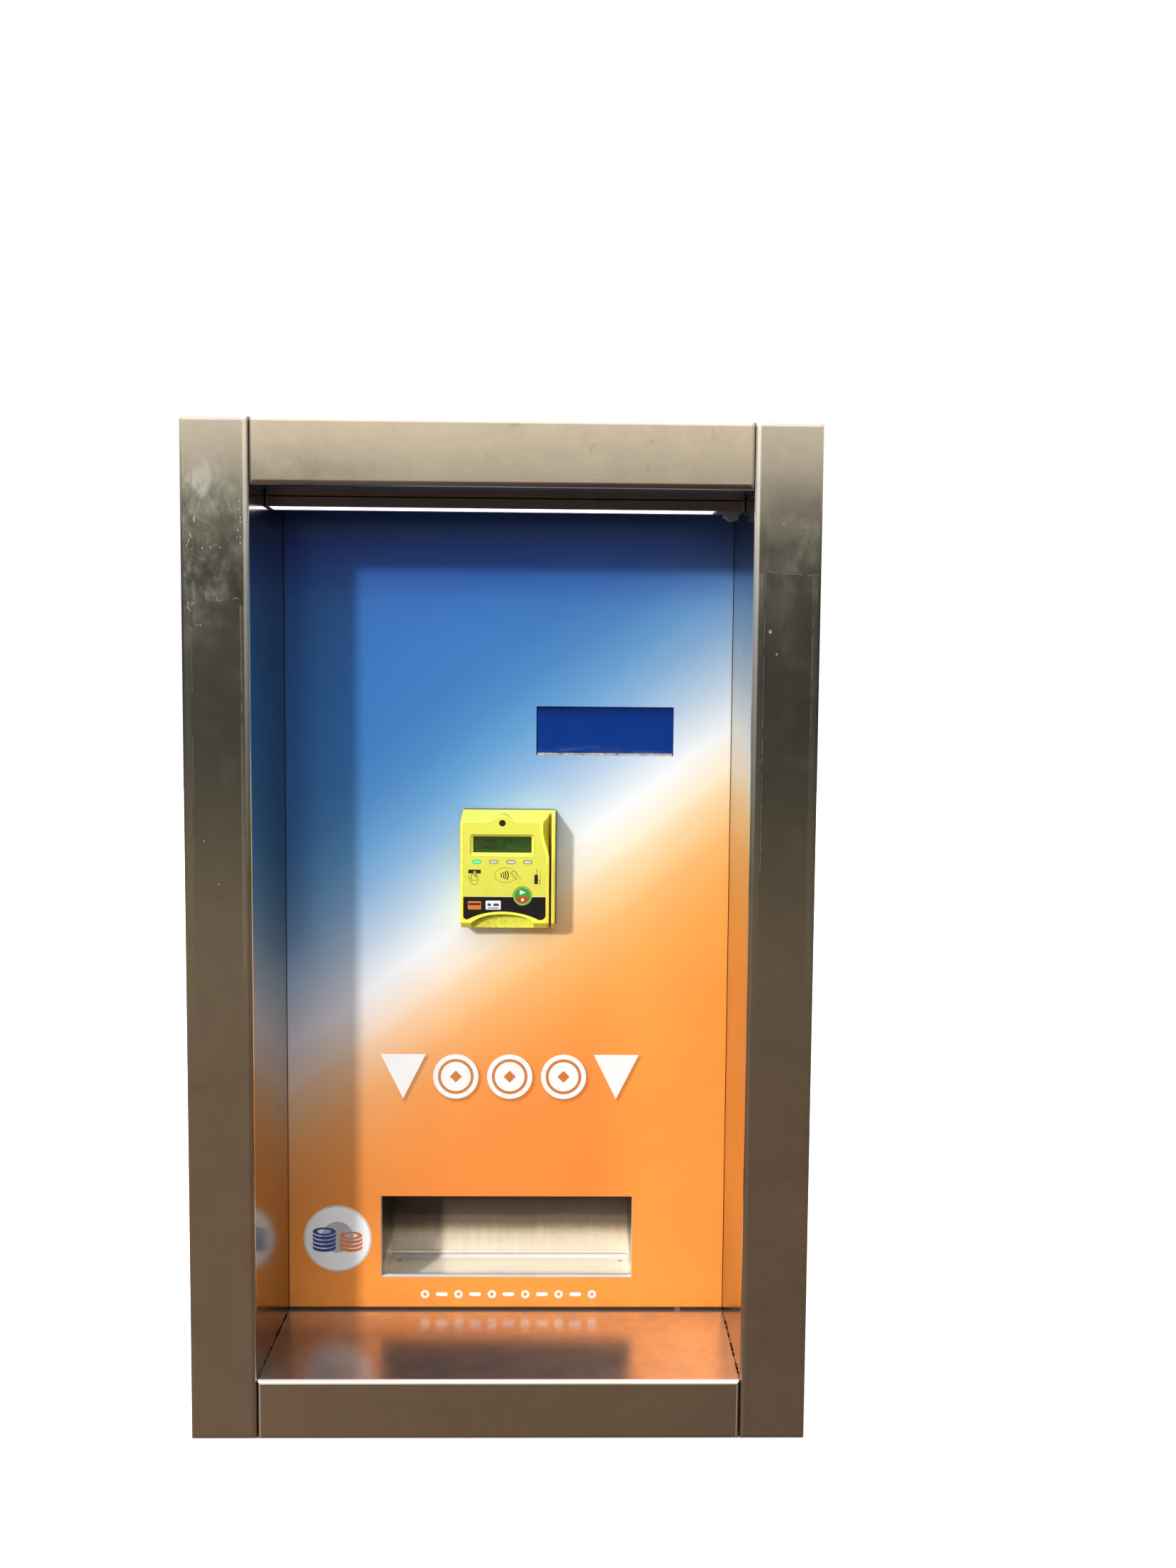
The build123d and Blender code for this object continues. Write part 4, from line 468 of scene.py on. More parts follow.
def label_print():
    """Printed membrane: yellow above, black band below."""
    f = Finish("reader_label_print")
    yellow = f.mix(f.span(f.noise(60, 3), 0.3, 0.7), srgb("#e8e658"), srgb("#e4e152"))
    # painted shade: the yellow darkens towards the bottom of the label
    yellow = f.mix(f.span(f.z, up(590), up(530)), yellow, (0.90, 0.89, 0.86, 1.0), "MULTIPLY")
    black = f.mix(f.span(f.noise(300, 4), 0.4, 0.7), srgb("#0d0c0c"), srgb("#1d1b1a"))
    band = f.span(f.z, up(527.6), up(527.4))
    line = f.math("MULTIPLY", f.span(f.z, up(528.4), up(528.2)), f.math("SUBTRACT", 1.0, band))
    colour = f.mix(line, yellow, srgb("#f6f59a"))
    colour = f.mix(band, colour, black)
    edge = f.span(f.y, -0.0419, -0.0417)
    colour = f.mix(f.math("MULTIPLY", edge, 0.5), colour, srgb("#8f8430"))
    f.set(Base_Color=colour, Roughness=f.span(f.noise(40, 3), 0.3, 0.7, 0.34, 0.46))
    f.bump(f.noise(3000, 2), 0.09, 0.0002)
    return f.mat


def lcd():
    f = Finish("reader_lcd_glass")
    # painted shade: the display glass darkens towards its top edge
    near = f.span(f.z, up(574), up(591))
    base = f.mix(near, srgb("#4c6a2e"), srgb("#3b5a27"))
    # faint cells of the characters that are off
    px = f.math("FRACT", f.math("MULTIPLY", f.math("ADD", f.x, 0.0318), 1000 / 0.6))
    pz = f.math("FRACT", f.math("MULTIPLY", f.z, 1000 / 0.7))
    grid = f.math("MULTIPLY", f.span(px, 0.08, 0.16), f.span(pz, 0.08, 0.16))
    base = f.mix(f.math("MULTIPLY", grid, 0.10), base, srgb("#2d4420"))
    base = f.mix(f.span(f.noise(90, 3), 0.3, 0.7, 0, 0.15), base, srgb("#5d7a38"))
    f.set(Base_Color=base, Roughness=0.25)
    f.bsdf.inputs["Emission Strength"].default_value = 0.0
    f.bump(f.noise(900, 2), 0.02, 0.0002)
    return f.mat


def clear_pane():
    f = Finish("clear_pane")
    f.set(Base_Color=f.mix(f.span(f.noise(120, 3), 0.3, 0.7), srgb("#20301a"), srgb("#2a3a20")), Roughness=f.span(f.noise(90, 3), 0.3, 0.7, 0.04, 0.10))
    f.bsdf.inputs["Alpha"].default_value = 0.16
    f.bump(f.noise(300, 2), 0.01, 0.0002)
    return f.mat


def light_pipes():
    f = Finish("indicator_lenses")
    lit = f.inside(x=(-0.038, -0.024))
    milky = f.mix(f.span(f.noise(400, 2), 0.3, 0.7), srgb("#e2dfc2"), srgb("#cbc8ac"))
    base = f.mix(lit, milky, srgb("#6dffad"))
    f.set(Base_Color=base, Roughness=f.span(f.noise(200, 2), 0.3, 0.7, 0.22, 0.34))
    glow = f.mix(lit, (0, 0, 0, 1), srgb("#3dff90"))
    f.feed(f.bsdf.inputs["Emission Color"], glow)
    f.bsdf.inputs["Emission Strength"].default_value = 0.45
    f.bump(f.noise(900, 2), 0.04, 0.0002)
    return f.mat


def diffuser():
    f = Finish("lamp_diffuser")
    # rows of diodes show faintly through the milky cover
    step = f.math("FRACT", f.math("MULTIPLY", f.math("ADD", f.x, 0.226), 1000 / 18.0))
    spot = f.math("ABSOLUTE", f.math("SUBTRACT", step, 0.5))
    glow = f.mix(f.span(spot, 0.05, 0.5), srgb("#fffcff"), srgb("#f0e6ff"))
    fade = f.span(f.x, 0.186, 0.211, 1.0, 0.25)
    edge = f.math("MULTIPLY", f.span(f.y, -0.0815, -0.0785), f.span(f.y, -0.0600, -0.0625))
    glow = f.mix(edge, srgb("#5b4f6a"), glow)
    f.set(Base_Color=srgb("#eef0f4"), Roughness=f.span(f.noise(300, 2), 0.3, 0.7, 0.3, 0.4))
    f.feed(f.bsdf.inputs["Emission Color"], f.mix(fade, srgb("#8a8494"), glow))
    f.bsdf.inputs["Emission Strength"].default_value = 2.2
    f.bump(f.noise(1200, 2), 0.03, 0.0002)
    return f.mat


def blue_window():
    f = Finish("display_pane")
    cloud = f.noise(24, 3, 0.5)
    base = f.mix(f.span(cloud, 0.3, 0.7), srgb("#113786"), srgb("#0d317c"))
    # painted shade: the pane darkens under its top edge
    base = f.mix(f.span(f.z, up(716), up(727), 0.0, 0.55), base, srgb("#101a40"))
    smear = f.math("MULTIPLY", f.span(f.noise(70, 5, 0.65, 1.0, where=f.stretched((0.25, 1, 1))), 0.5, 0.72), f.span(f.z, up(690), up(676)))
    base = f.mix(f.math("MULTIPLY", smear, 0.25), base, srgb("#8f9db8"))
    f.set(Base_Color=base, Roughness=f.math("MULTIPLY_ADD", smear, 0.3, 0.10))
    f.bsdf.inputs["Specular IOR Level"].default_value = 0.3
    f.bump(f.noise(40, 2), 0.02, 0.0004)
    return f.mat


def silicone(name="old_silicone"):
    f = Finish(name)
    cloud = f.noise(140, 4, 0.65, 0.5)
    base = f.mix(f.span(cloud, 0.35, 0.7), srgb("#c9c7bd"), srgb("#6f675c"))
    patch = f.span(f.noise(34, 3, 0.6, where=f.stretched((1, 0.2, 0.2), (2.0, 0, 0))), 0.60, 0.66)
    foot = f.mix(patch, srgb("#2b211b"), srgb("#a9a096"))
    base = f.mix(f.span(f.z, up(90), up(80)), base, foot)
    f.set(Base_Color=base, Roughness=f.span(cloud, 0.3, 0.7, 0.35, 0.6))
    f.bsdf.inputs["Subsurface Weight"].default_value = 0.2
    f.bsdf.inputs["Subsurface Scale"].default_value = 0.002
    f.bump(f.noise(600, 3), 0.3, 0.0006)
    return f.mat


def powder_coat(name, tone="#b3b7b5"):
    f = Finish(name)
    peel = f.noise(520, 2, 0.5)
    cloud = f.noise(7, 4, 0.6, 0.4)
    base = f.mix(f.span(cloud, 0.35, 0.7, 0, 0.6), srgb(tone), shade(srgb(tone), 0.86))
    scuff = f.math("MULTIPLY", f.span(f.noise(60, 6, 0.7, 1.2, where=f.stretched((1, 1, 0.15))), 0.62, 0.70), 0.5)
    base = f.mix(scuff, base, srgb("#8b8c88"))
    f.set(Base_Color=base, Roughness=f.math("MULTIPLY_ADD", peel, 0.15, 0.40))
    f.bump(peel, 0.35, 0.0006)
    return f.mat


def board(name, masks, tone="#0f4a26"):
    """Circuit board: traces, pads and solder mask; components coloured by their place."""
    f = Finish(name)
    cellw = f.cells(230, out="Distance", metric="MANHATTAN")
    traces = f.span(f.math("FRACT", f.math("MULTIPLY", cellw, 6.0)), 0.44, 0.5)
    dots = f.span(f.cells(330), 0.18, 0.12)
    base = f.mix(traces, srgb(tone), shade(srgb(tone), 1.9))
    base = f.mix(dots, base, srgb("#c9b26a"))
    rough, metallic = 0.38, 0.0
    r = f.math("MULTIPLY_ADD", f.noise(200, 3), 0.1, rough)
    m = None
    for box, colour, metal, ro in masks:
        k = f.inside(**box)
        speck = f.mix(f.span(f.noise(500, 3), 0.3, 0.7), srgb(colour), shade(srgb(colour), 0.75))
        base = f.mix(k, base, speck)
        r = f.math("ADD", f.math("MULTIPLY", k, ro), f.math("MULTIPLY", f.math("SUBTRACT", 1.0, k), r))
        if metal:
            mk = f.math("MULTIPLY", k, metal)
            m = mk if m is None else f.math("MAXIMUM", m, mk)
    f.set(Base_Color=base, Roughness=r)
    if m is not None:
        f.set(Metallic=m)
    f.bump(f.math("ADD", f.math("MULTIPLY", traces, 0.4), f.noise(700, 2)), 0.12, 0.0003)
    return f.mat


def cable():
    f = Finish("cable_sheath")
    jacket = f.mix(f.span(f.noise(90, 3), 0.35, 0.7), srgb("#1c1c1d"), srgb("#2b2b2d"))
    grey = f.inside(z=(up(700), up(800)))
    base = f.mix(grey, jacket, srgb("#6b6d70"))
    f.set(Base_Color=base, Roughness=f.span(f.noise(120, 3), 0.3, 0.7, 0.42, 0.55))
    f.bump(f.noise(900, 3), 0.12, 0.0003)
    return f.mat


def moulded_disc():
    f = Finish("disc_orange")
    wear = f.noise(80, 4, 0.6)
    ring = f.math("FRACT", f.math("MULTIPLY", wear, 9.0))
    base = f.mix(f.span(wear, 0.35, 0.7), srgb("#d8742c"), srgb("#b85d22"))
    base = f.mix(f.math("MULTIPLY", f.span(ring, 0.45, 0.5), 0.12), base, srgb("#5d4a3c"))
    f.set(Base_Color=base, Roughness=0.42)
    f.bump(f.noise(1200, 3), 0.15, 0.0003)
    return f.mat


steel_upright = steel("steel_upright", tone="#c4bdb1", along="z", wiped=True)
steel_cross = steel("steel_cross", tone="#c8bfb1", along="x", smudges=0.5, sill=True)
steel_tray = tray_steel()
steel_inner = steel("steel_inner", tone="#b4b2ac", low=0.30, high=0.45, along="z")
zinc_mat = zinc("zinc_coated_sheet")
zinc_bright = polished("zinc_plated", "#c3c2bc", 0.22, 0.25)
chrome = polished("chromed", "#d6d6d4", 0.08, 0.14)
film_mat = printed_film()
panel_mat = printed_film("panel_sheet", True)
vinyl_mat = vinyl("white_cut_vinyl", "#f3f1ee")
sticker_mat = vinyl("sticker_white", "#fdfcfa")
aluminium = steel("lamp_aluminium", tone="#a09395", low=0.26, high=0.38, along="x", smudges=0.5)
grey_plastic = plastic("grey_moulding", "#85868a", 0.45)
black_plastic = plastic("black_moulding", "#101011", 0.48, dirt=-0.6)
bowl_mat = plastic("hopper_moulding", "#2e3034", 0.50, dirt=0.25)
foam_mat = foam("closed_cell_foam")
door_mat = powder_coat("door_powder_coat")
motor_mat = powder_coat("motor_paint", "#3a3b3d")
silicone_mat = silicone()
yellow_mat = reader_shell()
disc_mat = moulded_disc()
cable_mat = cable()
supply_mat = zinc("supply_case", "#c2c4c2", 500)

controller_mat = board(
    "controller_circuit_board",
    [
        (dict(x=(-0.2122, -0.200), y=(0.0695, 0.0845)), "#2f8a4a", 0, 0.4),
        (dict(x=(-0.2122, -0.208), y=(0.1195, 0.1505), z=(up(699), up(731))), "#17171a", 0, 0.5),
        (dict(x=(-0.2122, -0.208), y=(0.0895, 0.1025), z=(up(759), up(791))), "#1a1a1c", 0, 0.5),
        (dict(x=(-0.2122, -0.1935), y=(0.190, 0.210), z=(up(570), up(634))), "#22305c", 0, 0.35),
        (dict(x=(-0.1935, -0.190), y=(0.190, 0.210), z=(up(570), up(634))), "#b9bbbd", 0.9, 0.3),
        (dict(x=(-0.2122, -0.186), y=(0.179, 0.2455), z=(up(739), up(801))), "#9fa2a4", 0.9, 0.35),
        (dict(x=(-0.2122, -0.203), y=(0.2315, 0.2465), z=(up(559), up(663))), "#d9d6cc", 0, 0.45),
    ],
)
display_board_mat = board(
    "display_circuit_board",
    [
        (dict(y=(0.0121, 0.0155), x=(0.0595, 0.0905)), "#141416", 0, 0.5),
        (dict(y=(0.0121, 0.0215), x=(0.1095, 0.1505), z=(up(727), up(739))), "#e0ddd2", 0, 0.45),
        (dict(y=(0.0121, 0.0150), x=(0.0995, 0.1125)), "#19191b", 0, 0.5),
        (dict(y=(0.0121, 0.0300), x=(0.1535, 0.1760), z=(up(690), up(710))), "#2a3a6e", 0, 0.35),
    ],
    "#123f63",
)
reader_board_mat = board(
    "reader_circuit_board",
    [
        (dict(y=(-0.0258, -0.017), x=(-0.0305, -0.0075), z=(up(534), up(558))), "#151517", 0, 0.5),
        (dict(y=(-0.0258, -0.017), x=(0.0035, 0.0165), z=(up(574), up(588))), "#b9bbbd", 0.9, 0.3),
        (dict(y=(-0.0258, -0.017), x=(-0.0205, 0.0105), z=(up(589), up(600))), "#e0ddd2", 0, 0.45),
    ],
)

assigned = {
    "right_jamb": steel_upright, "left_jamb": steel_upright, "header": steel_cross, "sill": steel_cross,
    "front_panel": panel_mat, "delivery_tray": steel_tray, "graphic_film": film_mat,
    "token_icons": vinyl_mat, "sticker": sticker_mat, "led_housing": aluminium, "led_end_caps": grey_plastic,
    "led_bracket": grey_plastic, "led_diffuser": diffuser(), "led_strip": plastic("white_circuit_strip", "#e9e9e4", 0.4),
    "display_window": blue_window(), "silicone_beads": silicone_mat, "display_module": plastic("display_case", "#141c38", 0.4),
    "display_board": display_board_mat, "reader_body": yellow_mat, "reader_backplate": black_plastic,
    "reader_label": label_print(), "reader_lcd_window": clear_pane(), "reader_lcd": lcd(),
    "reader_light_pipes": light_pipes(), "reader_sensor_lens": plastic("sensor_lens_dark", "#3f3a22", 0.16, depth=0.02, tone2="#241f14"),
    "reader_button": plastic("button_green_cap", "#3aa336", 0.30, dirt=0.12), "reader_board": reader_board_mat,
    "reader_mag_head": chrome, "panel_fasteners": zinc_bright, "surround_screws": zinc_bright,
    "token_chute": zinc_mat, "hopper_shelf": zinc_mat, "hopper_base": black_plastic, "hopper_body": black_plastic,
    "hopper_disc": disc_mat, "hopper_motor": motor_mat, "hopper_bowl": bowl_mat, "hopper_throat": bowl_mat,
    "mounting_plate": zinc_mat, "controller_board": controller_mat, "power_supply": supply_mat,
    "switch_box": grey_plastic, "power_rocker": plastic("rocker_red_cap", "#b3140e", 0.28), "cable_gland": plastic("gland_grey", "#5b5e62", 0.45),
    "wiring_harness": cable_mat, "wall_frame": zinc_mat, "wall_gasket": foam_mat, "door_gasket": foam_mat,
    "cabinet_flange": zinc_mat, "cabinet_left_wall": zinc_mat, "cabinet_right_wall": zinc_mat, "cabinet_top": zinc_mat,
    "cabinet_floor": zinc_mat, "cabinet_rear_frame": zinc_mat, "rear_door": door_mat,
    "hinge_leaves_fixed": zinc_bright, "hinge_leaves_moving": zinc_bright, "hinge_pins": zinc_bright,
    "lock_barrel": chrome, "lock_plug": chrome,
}
for name, ob in nodes.items():
    mat = assigned[name]
    if not ob.data.materials:
        ob.data.materials.append(mat)
    for i in range(len(ob.material_slots)):
        ob.material_slots[i].link = "DATA"
        ob.material_slots[i].material = mat


# ---------------------------------------------------------------------- flat print shapes
def circle(cx, ch, r, n=40, rx=None):
    rx = r if rx is None else rx
    return [(cx + rx * math.cos(2 * math.pi * k / n), ch + r * math.sin(2 * math.pi * k / n)) for k in range(n)]


def rounded(x0, x1, h0, h1, r, n=5):
    out = []
    for cx, ch, a0 in ((x1 - r, h1 - r, 0), (x0 + r, h1 - r, 90), (x0 + r, h0 + r, 180), (x1 - r, h0 + r, 270)):
        for k in range(n + 1):
            a = math.radians(a0 + 90 * k / n)
            out.append((cx + r * math.cos(a), ch + r * math.sin(a)))
    return out


def stroke(points, width, taper=False):
    """Outline of a pen line through the points, with round ends."""
    pts = [Vector(p) for p in points]
    left, right = [], []
    for i, p in enumerate(pts):
        a = pts[max(i - 1, 0)]
        b = pts[min(i + 1, len(pts) - 1)]
        d = (b - a).normalized()
        n = Vector((-d.y, d.x))
        w = width / 2
        if taper:
            w *= 0.35 + 0.65 * math.sin(math.pi * (i + 0.5) / len(pts))
        left.append(p + n * w)
        right.append(p - n * w)
    cap = []
    d = (pts[-1] - pts[-2]).normalized()
    a0 = math.atan2(d.y, d.x)
    w = (left[-1] - pts[-1]).length
    for k in range(1, 6):
        a = a0 + math.pi / 2 - math.pi * k / 6
        cap.append(pts[-1] + Vector((math.cos(a), math.sin(a))) * w)
    tail = []
    d = (pts[0] - pts[1]).normalized()
    a0 = math.atan2(d.y, d.x)
    w = (left[0] - pts[0]).length
    for k in range(1, 6):
        a = a0 + math.pi / 2 - math.pi * k / 6
        tail.append(pts[0] + Vector((math.cos(a), math.sin(a))) * w)
    return [tuple(p) for p in left + cap + list(reversed(right)) + tail]


def arc(cx, ch, r, a0, a1, n=12, squash=1.0):
    return [
        (cx + squash * r * math.cos(math.radians(a0 + (a1 - a0) * k / n)), ch + r * math.sin(math.radians(a0 + (a1 - a0) * k / n)))
        for k in range(n + 1)
    ]


def bezier(*pts, n=14):
    """A cubic curve through control points, four at a time."""
    out = []
    for i in range(0, len(pts) - 1, 3):
        a, b, c, d = (Vector(p) for p in pts[i : i + 4])
        for k in range(n + 1):
            if i and k == 0:
                continue
            t = k / n
            out.append(tuple((1 - t) ** 3 * a + 3 * (1 - t) ** 2 * t * b + 3 * (1 - t) * t * t * c + t**3 * d))
    return out


def flat(name, groups, y, thick, mat, body="root"):
    """Thin relief facing the user. groups is a list of shapes, each a list of loops (outer loop, then holes), in mm."""
    joined = bmesh.new()
    for loops in groups:
        cu = bpy.data.curves.new("tmp", "CURVE")
        cu.dimensions = "2D"
        cu.fill_mode = "BOTH"
        cu.extrude = thick / 2000
        for loop in loops:
            sp = cu.splines.new("POLY")
            sp.points.add(len(loop) - 1)
            for p, (x, h) in zip(sp.points, loop):
                p.co = (x / 1000, up(h), 0, 1)
            sp.use_cyclic_u = True
        ob = bpy.data.objects.new("tmp", cu)
        scene.collection.objects.link(ob)
        bpy.context.view_layer.update()
        me = bpy.data.meshes.new_from_object(ob.evaluated_get(bpy.context.evaluated_depsgraph_get()))
        joined.from_mesh(me)
        bpy.data.objects.remove(ob)
        bpy.data.curves.remove(cu)
        bpy.data.meshes.remove(me)
    bmesh.ops.remove_doubles(joined, verts=joined.verts, dist=1e-7)
    me = bpy.data.meshes.new(name)
    joined.to_mesh(me)
    joined.free()
    me.transform(Matrix(((1, 0, 0, 0), (0, 0, -1, y / 1000), (0, 1, 0, 0), (0, 0, 0, 1))))
    return piece(name, me, mat, body)


def piece(name, me, mat, body="root", smooth=False):
    ob = bpy.data.objects.new(name, me)
    scene.collection.objects.link(ob)
    me.materials.append(mat)
    if smooth:
        for p in me.polygons:
            p.use_smooth = True
    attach(ob, body)
    return ob


def ink(name, tone, rough=0.4, tone2=None):
    f = Finish(name)
    wear = f.noise(350, 4, 0.6)
    f.set(Base_Color=f.mix(f.span(wear, 0.35, 0.75), srgb(tone), srgb(tone2) if tone2 else shade(srgb(tone), 0.85)),
          Roughness=f.span(wear, 0.3, 0.7, rough - 0.05, rough + 0.08))
    f.bump(f.noise(1500, 2), 0.05, 0.0002)
    return f.mat


black_ink = ink("black_ink", "#16140f", 0.4, "#2a2618")
dark_line = ink("dark_line_ink", "#5b5522", 0.4, "#4a4520")
white_ink = ink("white_ink", "#f4f4f0", 0.38, "#dcdcd6")
red_ink = ink("red_ink", "#d23a22", 0.35)
green_ring = ink("green_ring_ink", "#cfe07a", 0.35)
orange_ink = ink("orange_ink", "#e07a35", 0.4)
blue_ink = ink("blue_ink", "#2c4a86", 0.4)
grey_ink = ink("grey_ink", "#a5a7aa", 0.42)
olive_ring = ink("olive_ring_ink", "#8e8b60", 0.4, "#a09c6c")
ring_with_painted_glow = ink("mint_ring_ink", "#2fd06a", 0.35)
lcd_dark = ink("lcd_characters", "#0d1a08", 0.3)

RF = -42.2
FACE = RF + 0.15 - 0.04          # just over the printed membrane

# Card-insert pictogram
flat("print_card_insert", [
    [rounded(-40.2, -27.0, 552.2, 556.2, 0.4), arc(-33.6, 553.0, 1.6, 0, 180, 10)],
    [rounded(-36.9, -30.6, 544.6, 551.6, 0.5), rounded(-36.45, -31.05, 545.05, 551.2, 0.3)],
    [rounded(-33.4, -31.9, 548.6, 550.4, 0.2)],
    [stroke(bezier((-38.2, 550.4), (-41.6, 548.5), (-39.6, 546.6), (-38.6, 545.6), (-38.0, 543.0), (-36.6, 540.8), (-34.0, 540.6), (-31.0, 540.4), (-28.4, 543.0), (-29.2, 548.4)), 0.5, True)],
    [stroke(bezier((-39.8, 547.2), (-38.4, 546.6), (-37.9, 547.4), (-37.5, 548.6)), 0.45, True)],
], FACE, 0.05, black_ink)

# Contactless pictogram: oval, dot and three waves, with a hand and card
flat("print_contactless_oval", [
    [circle(-0.9, 550.6, 8.05, 56, 11.8), circle(-0.9, 550.6, 7.7, 56, 11.45)],
    [stroke(bezier((4.2, 551.6), (4.4, 554.2), (6.2, 555.0), (8.2, 554.6), (10.6, 554.0), (12.6, 550.2), (14.9, 546.0)), 0.42)],
    [stroke(bezier((5.0, 549.6), (6.8, 549.4), (7.8, 548.6), (8.8, 547.8), (9.8, 547.0), (10.6, 546.6), (11.4, 545.2)), 0.42)],
    [stroke(bezier((4.6, 552.6), (6.4, 552.6), (7.4, 551.8), (8.2, 550.6)), 0.40)],
    [stroke(bezier((5.6, 551.0), (6.8, 551.2), (7.6, 550.2), (8.4, 549.4)), 0.36)],
], FACE, 0.05, dark_line)
flat("print_contactless_waves", [
    [stroke(arc(-8.1, 550.5, 2.9, -40, 40), 0.95)],
    [stroke(arc(-7.2, 550.5, 4.5, -40, 40), 1.0)],
    [stroke(arc(-6.3, 550.5, 5.8, -39, 39), 1.05)],
    [stroke(arc(-5.1, 550.5, 7.1, -38, 38), 1.1)],
], FACE, 0.05, black_ink)

# Swipe pictogram
flat("print_swipe", [
    [rounded(29.4, 33.2, 541.2, 551.2, 0.4)],
    [rounded(31.5, 32.0, 551.1, 557.4, 0.1)],
    [rounded(34.6, 35.4, 544.4, 546.2, 0.15)],
    [rounded(34.6, 35.4, 541.2, 543.0, 0.15)],
], FACE, 0.05, black_ink)
flat("print_swipe_line", [[stroke([(35.6, 555.8), (35.7, 548.2), (35.6, 541.6)], 0.18)]], FACE, 0.05, dark_line)

# Two plain card pictograms on the black band
flat("print_card_plain_a", [[rounded(-40.6, -26.6, 513.9, 522.6, 1.1), rounded(-40.0, -27.2, 518.6, 520.6, 0.1)]], FACE, 0.05, orange_ink)
flat("print_card_plain_b", [[rounded(-21.8, -5.9, 513.9, 523.4, 0.8), rounded(-19.8, -16.2, 517.6, 520.4, 0.5), rounded(-19.8, -8.0, 515.0, 515.9, 0.3)]], FACE, 0.05, white_ink)
flat("print_card_chip", [[rounded(-19.6, -16.4, 517.8, 520.2, 0.4)], [rounded(-19.7, -8.1, 515.05, 515.85, 0.3)], [rounded(-13.6, -8.0, 517.6, 520.4, 0.5)]], FACE - 0.03, 0.05, blue_ink)

# Rings round the indicator lamps; the green of the first ring is painted glow from the lit lamp
for k, x in enumerate((-31.4, -13.5, 4.6, 22.4)):
    def pill(hw, hh):
        return rounded(x - hw, x + hw, 564.6 - hh, 564.6 + hh, hh - 0.01, 8)
    flat("print_lamp_ring_%d" % (k + 1), [[pill(4.95, 2.2), pill(3.9, 1.32)]], FACE, 0.06, ring_with_painted_glow if k == 0 else olive_ring)

# Thin olive ring round the display window, painted shade along the edge of its recess
flat("print_display_frame", [[rounded(-38.6, 29.7, 569.8, 593.7, 3.4), rounded(-38.25, 29.35, 570.15, 593.35, 3.1)]], FACE, 0.04, ink("frame_shadow_ink", "#a39b3a", 0.4))

# Push button: ring, play and stop signs
BF = RF - 0.5 - 0.02
flat("print_button_stop_field", [[bezier((9.9, 526.4), (12.5, 528.3), (21.5, 528.3), (24.1, 526.4), (22.4, 522.8), (19.6, 521.2), (17.0, 521.2), (14.4, 521.2), (11.6, 522.8), (9.9, 526.4))]], BF, 0.05, red_ink, "button")
flat("print_button_signs", [
    [[(14.2, 535.0), (14.2, 529.8), (20.4, 532.4)]],
], BF, 0.05, white_ink, "button")
flat("print_button_ring", [[circle(17.0, 528.6, 9.32, 64), circle(17.0, 528.6, 8.75, 64)]], BF, 0.05, green_ring, "button")
flat("print_button_square", [[rounded(15.6, 18.4, 523.2, 526.0, 0.3)]], BF - 0.04, 0.05, white_ink, "button")

# Sensor bezel
me = bpy.data.meshes.new("sensor_bezel")
bm = bmesh.new()
profile = [(2.35, 0.9), (2.2, 0.35), (2.5, 0.02), (3.0, -0.12), (3.35, -0.05), (3.42, 0.25)]
rings = []
for r, d in profile:
    ring = [bm.verts.new(((-4.5 + r * math.cos(2 * math.pi * k / 40)) / 1000, (RF + d) / 1000, up(605.6 + r * math.sin(2 * math.pi * k / 40)))) for k in range(40)]
    rings.append(ring)
for a, b in zip(rings, rings[1:]):
    for k in range(40):
        bm.faces.new((a[k], a[(k + 1) % 40], b[(k + 1) % 40], b[k]))
back = [bm.verts.new((v.co.x, (RF + 1.1) / 1000, v.co.z)) for v in rings[-1]]
for k in range(40):
    bm.faces.new((rings[-1][k], rings[-1][(k + 1) % 40], back[(k + 1) % 40], back[k]))
    bm.faces.new((back[k], back[(k + 1) % 40], rings[0][(k + 1) % 40], rings[0][k]))
bmesh.ops.recalc_face_normals(bm, faces=bm.faces)
bm.to_mesh(me)
bm.free()
piece("sensor_bezel", me, ink("bezel_dark", "#2a2410", 0.35), "root", True)

# Characters on the reader display: plain digits in a 5 x 7 raster
DIGITS = {
    "0": "01110 10001 10011 10101 11001 10001 01110", "1": "00100 01100 00100 00100 00100 00100 01110",
    "2": "01110 10001 00001 00010 00100 01000 11111", "3": "11111 00010 00100 00010 00001 10001 01110",
    "4": "00010 00110 01010 10010 11111 00010 00010", "5": "11111 10000 11110 00001 00001 10001 01110",
    "6": "00110 01000 10000 11110 10001 10001 01110", "7": "11111 00001 00010 00100 01000 01000 01000",
    "8": "01110 10001 10001 01110 10001 10001 01110", "9": "01110 10001 10001 01111 00001 00010 01100",
    ":": "00000 01100 01100 00000 01100 01100 00000", "-": "00000 00000 00000 11111 00000 00000 00000",
}
me = bpy.data.meshes.new("lcd_digits")
bm = bmesh.new()
LY = (RF + 4.9 - 0.03) / 1000
for text, top in (("1234567 890", 588.7), (" 24680135", 582.4)):
    for i, ch in enumerate(text):
        if ch not in DIGITS:
            continue
        for r, row in enumerate(DIGITS[ch].split()):
            for c, bit in enumerate(row):
                if bit == "1":
                    x0, h0 = -31.8 + 3.45 * i + 0.6 * c, top - 0.72 * (r + 1)
                    vs = [bm.verts.new((x / 1000, LY, up(h))) for x, h in ((x0, h0), (x0 + 0.54, h0), (x0 + 0.54, h0 + 0.66), (x0, h0 + 0.66))]
                    bk = [bm.verts.new((v.co.x, LY + 0.00006, v.co.z)) for v in vs]
                    bm.faces.new(vs)
                    bm.faces.new(list(reversed(bk)))
                    for k in range(4):
                        bm.faces.new((vs[(k + 1) % 4], vs[k], bk[k], bk[(k + 1) % 4]))
bmesh.ops.recalc_face_normals(bm, faces=bm.faces)
bm.to_mesh(me)
bm.free()
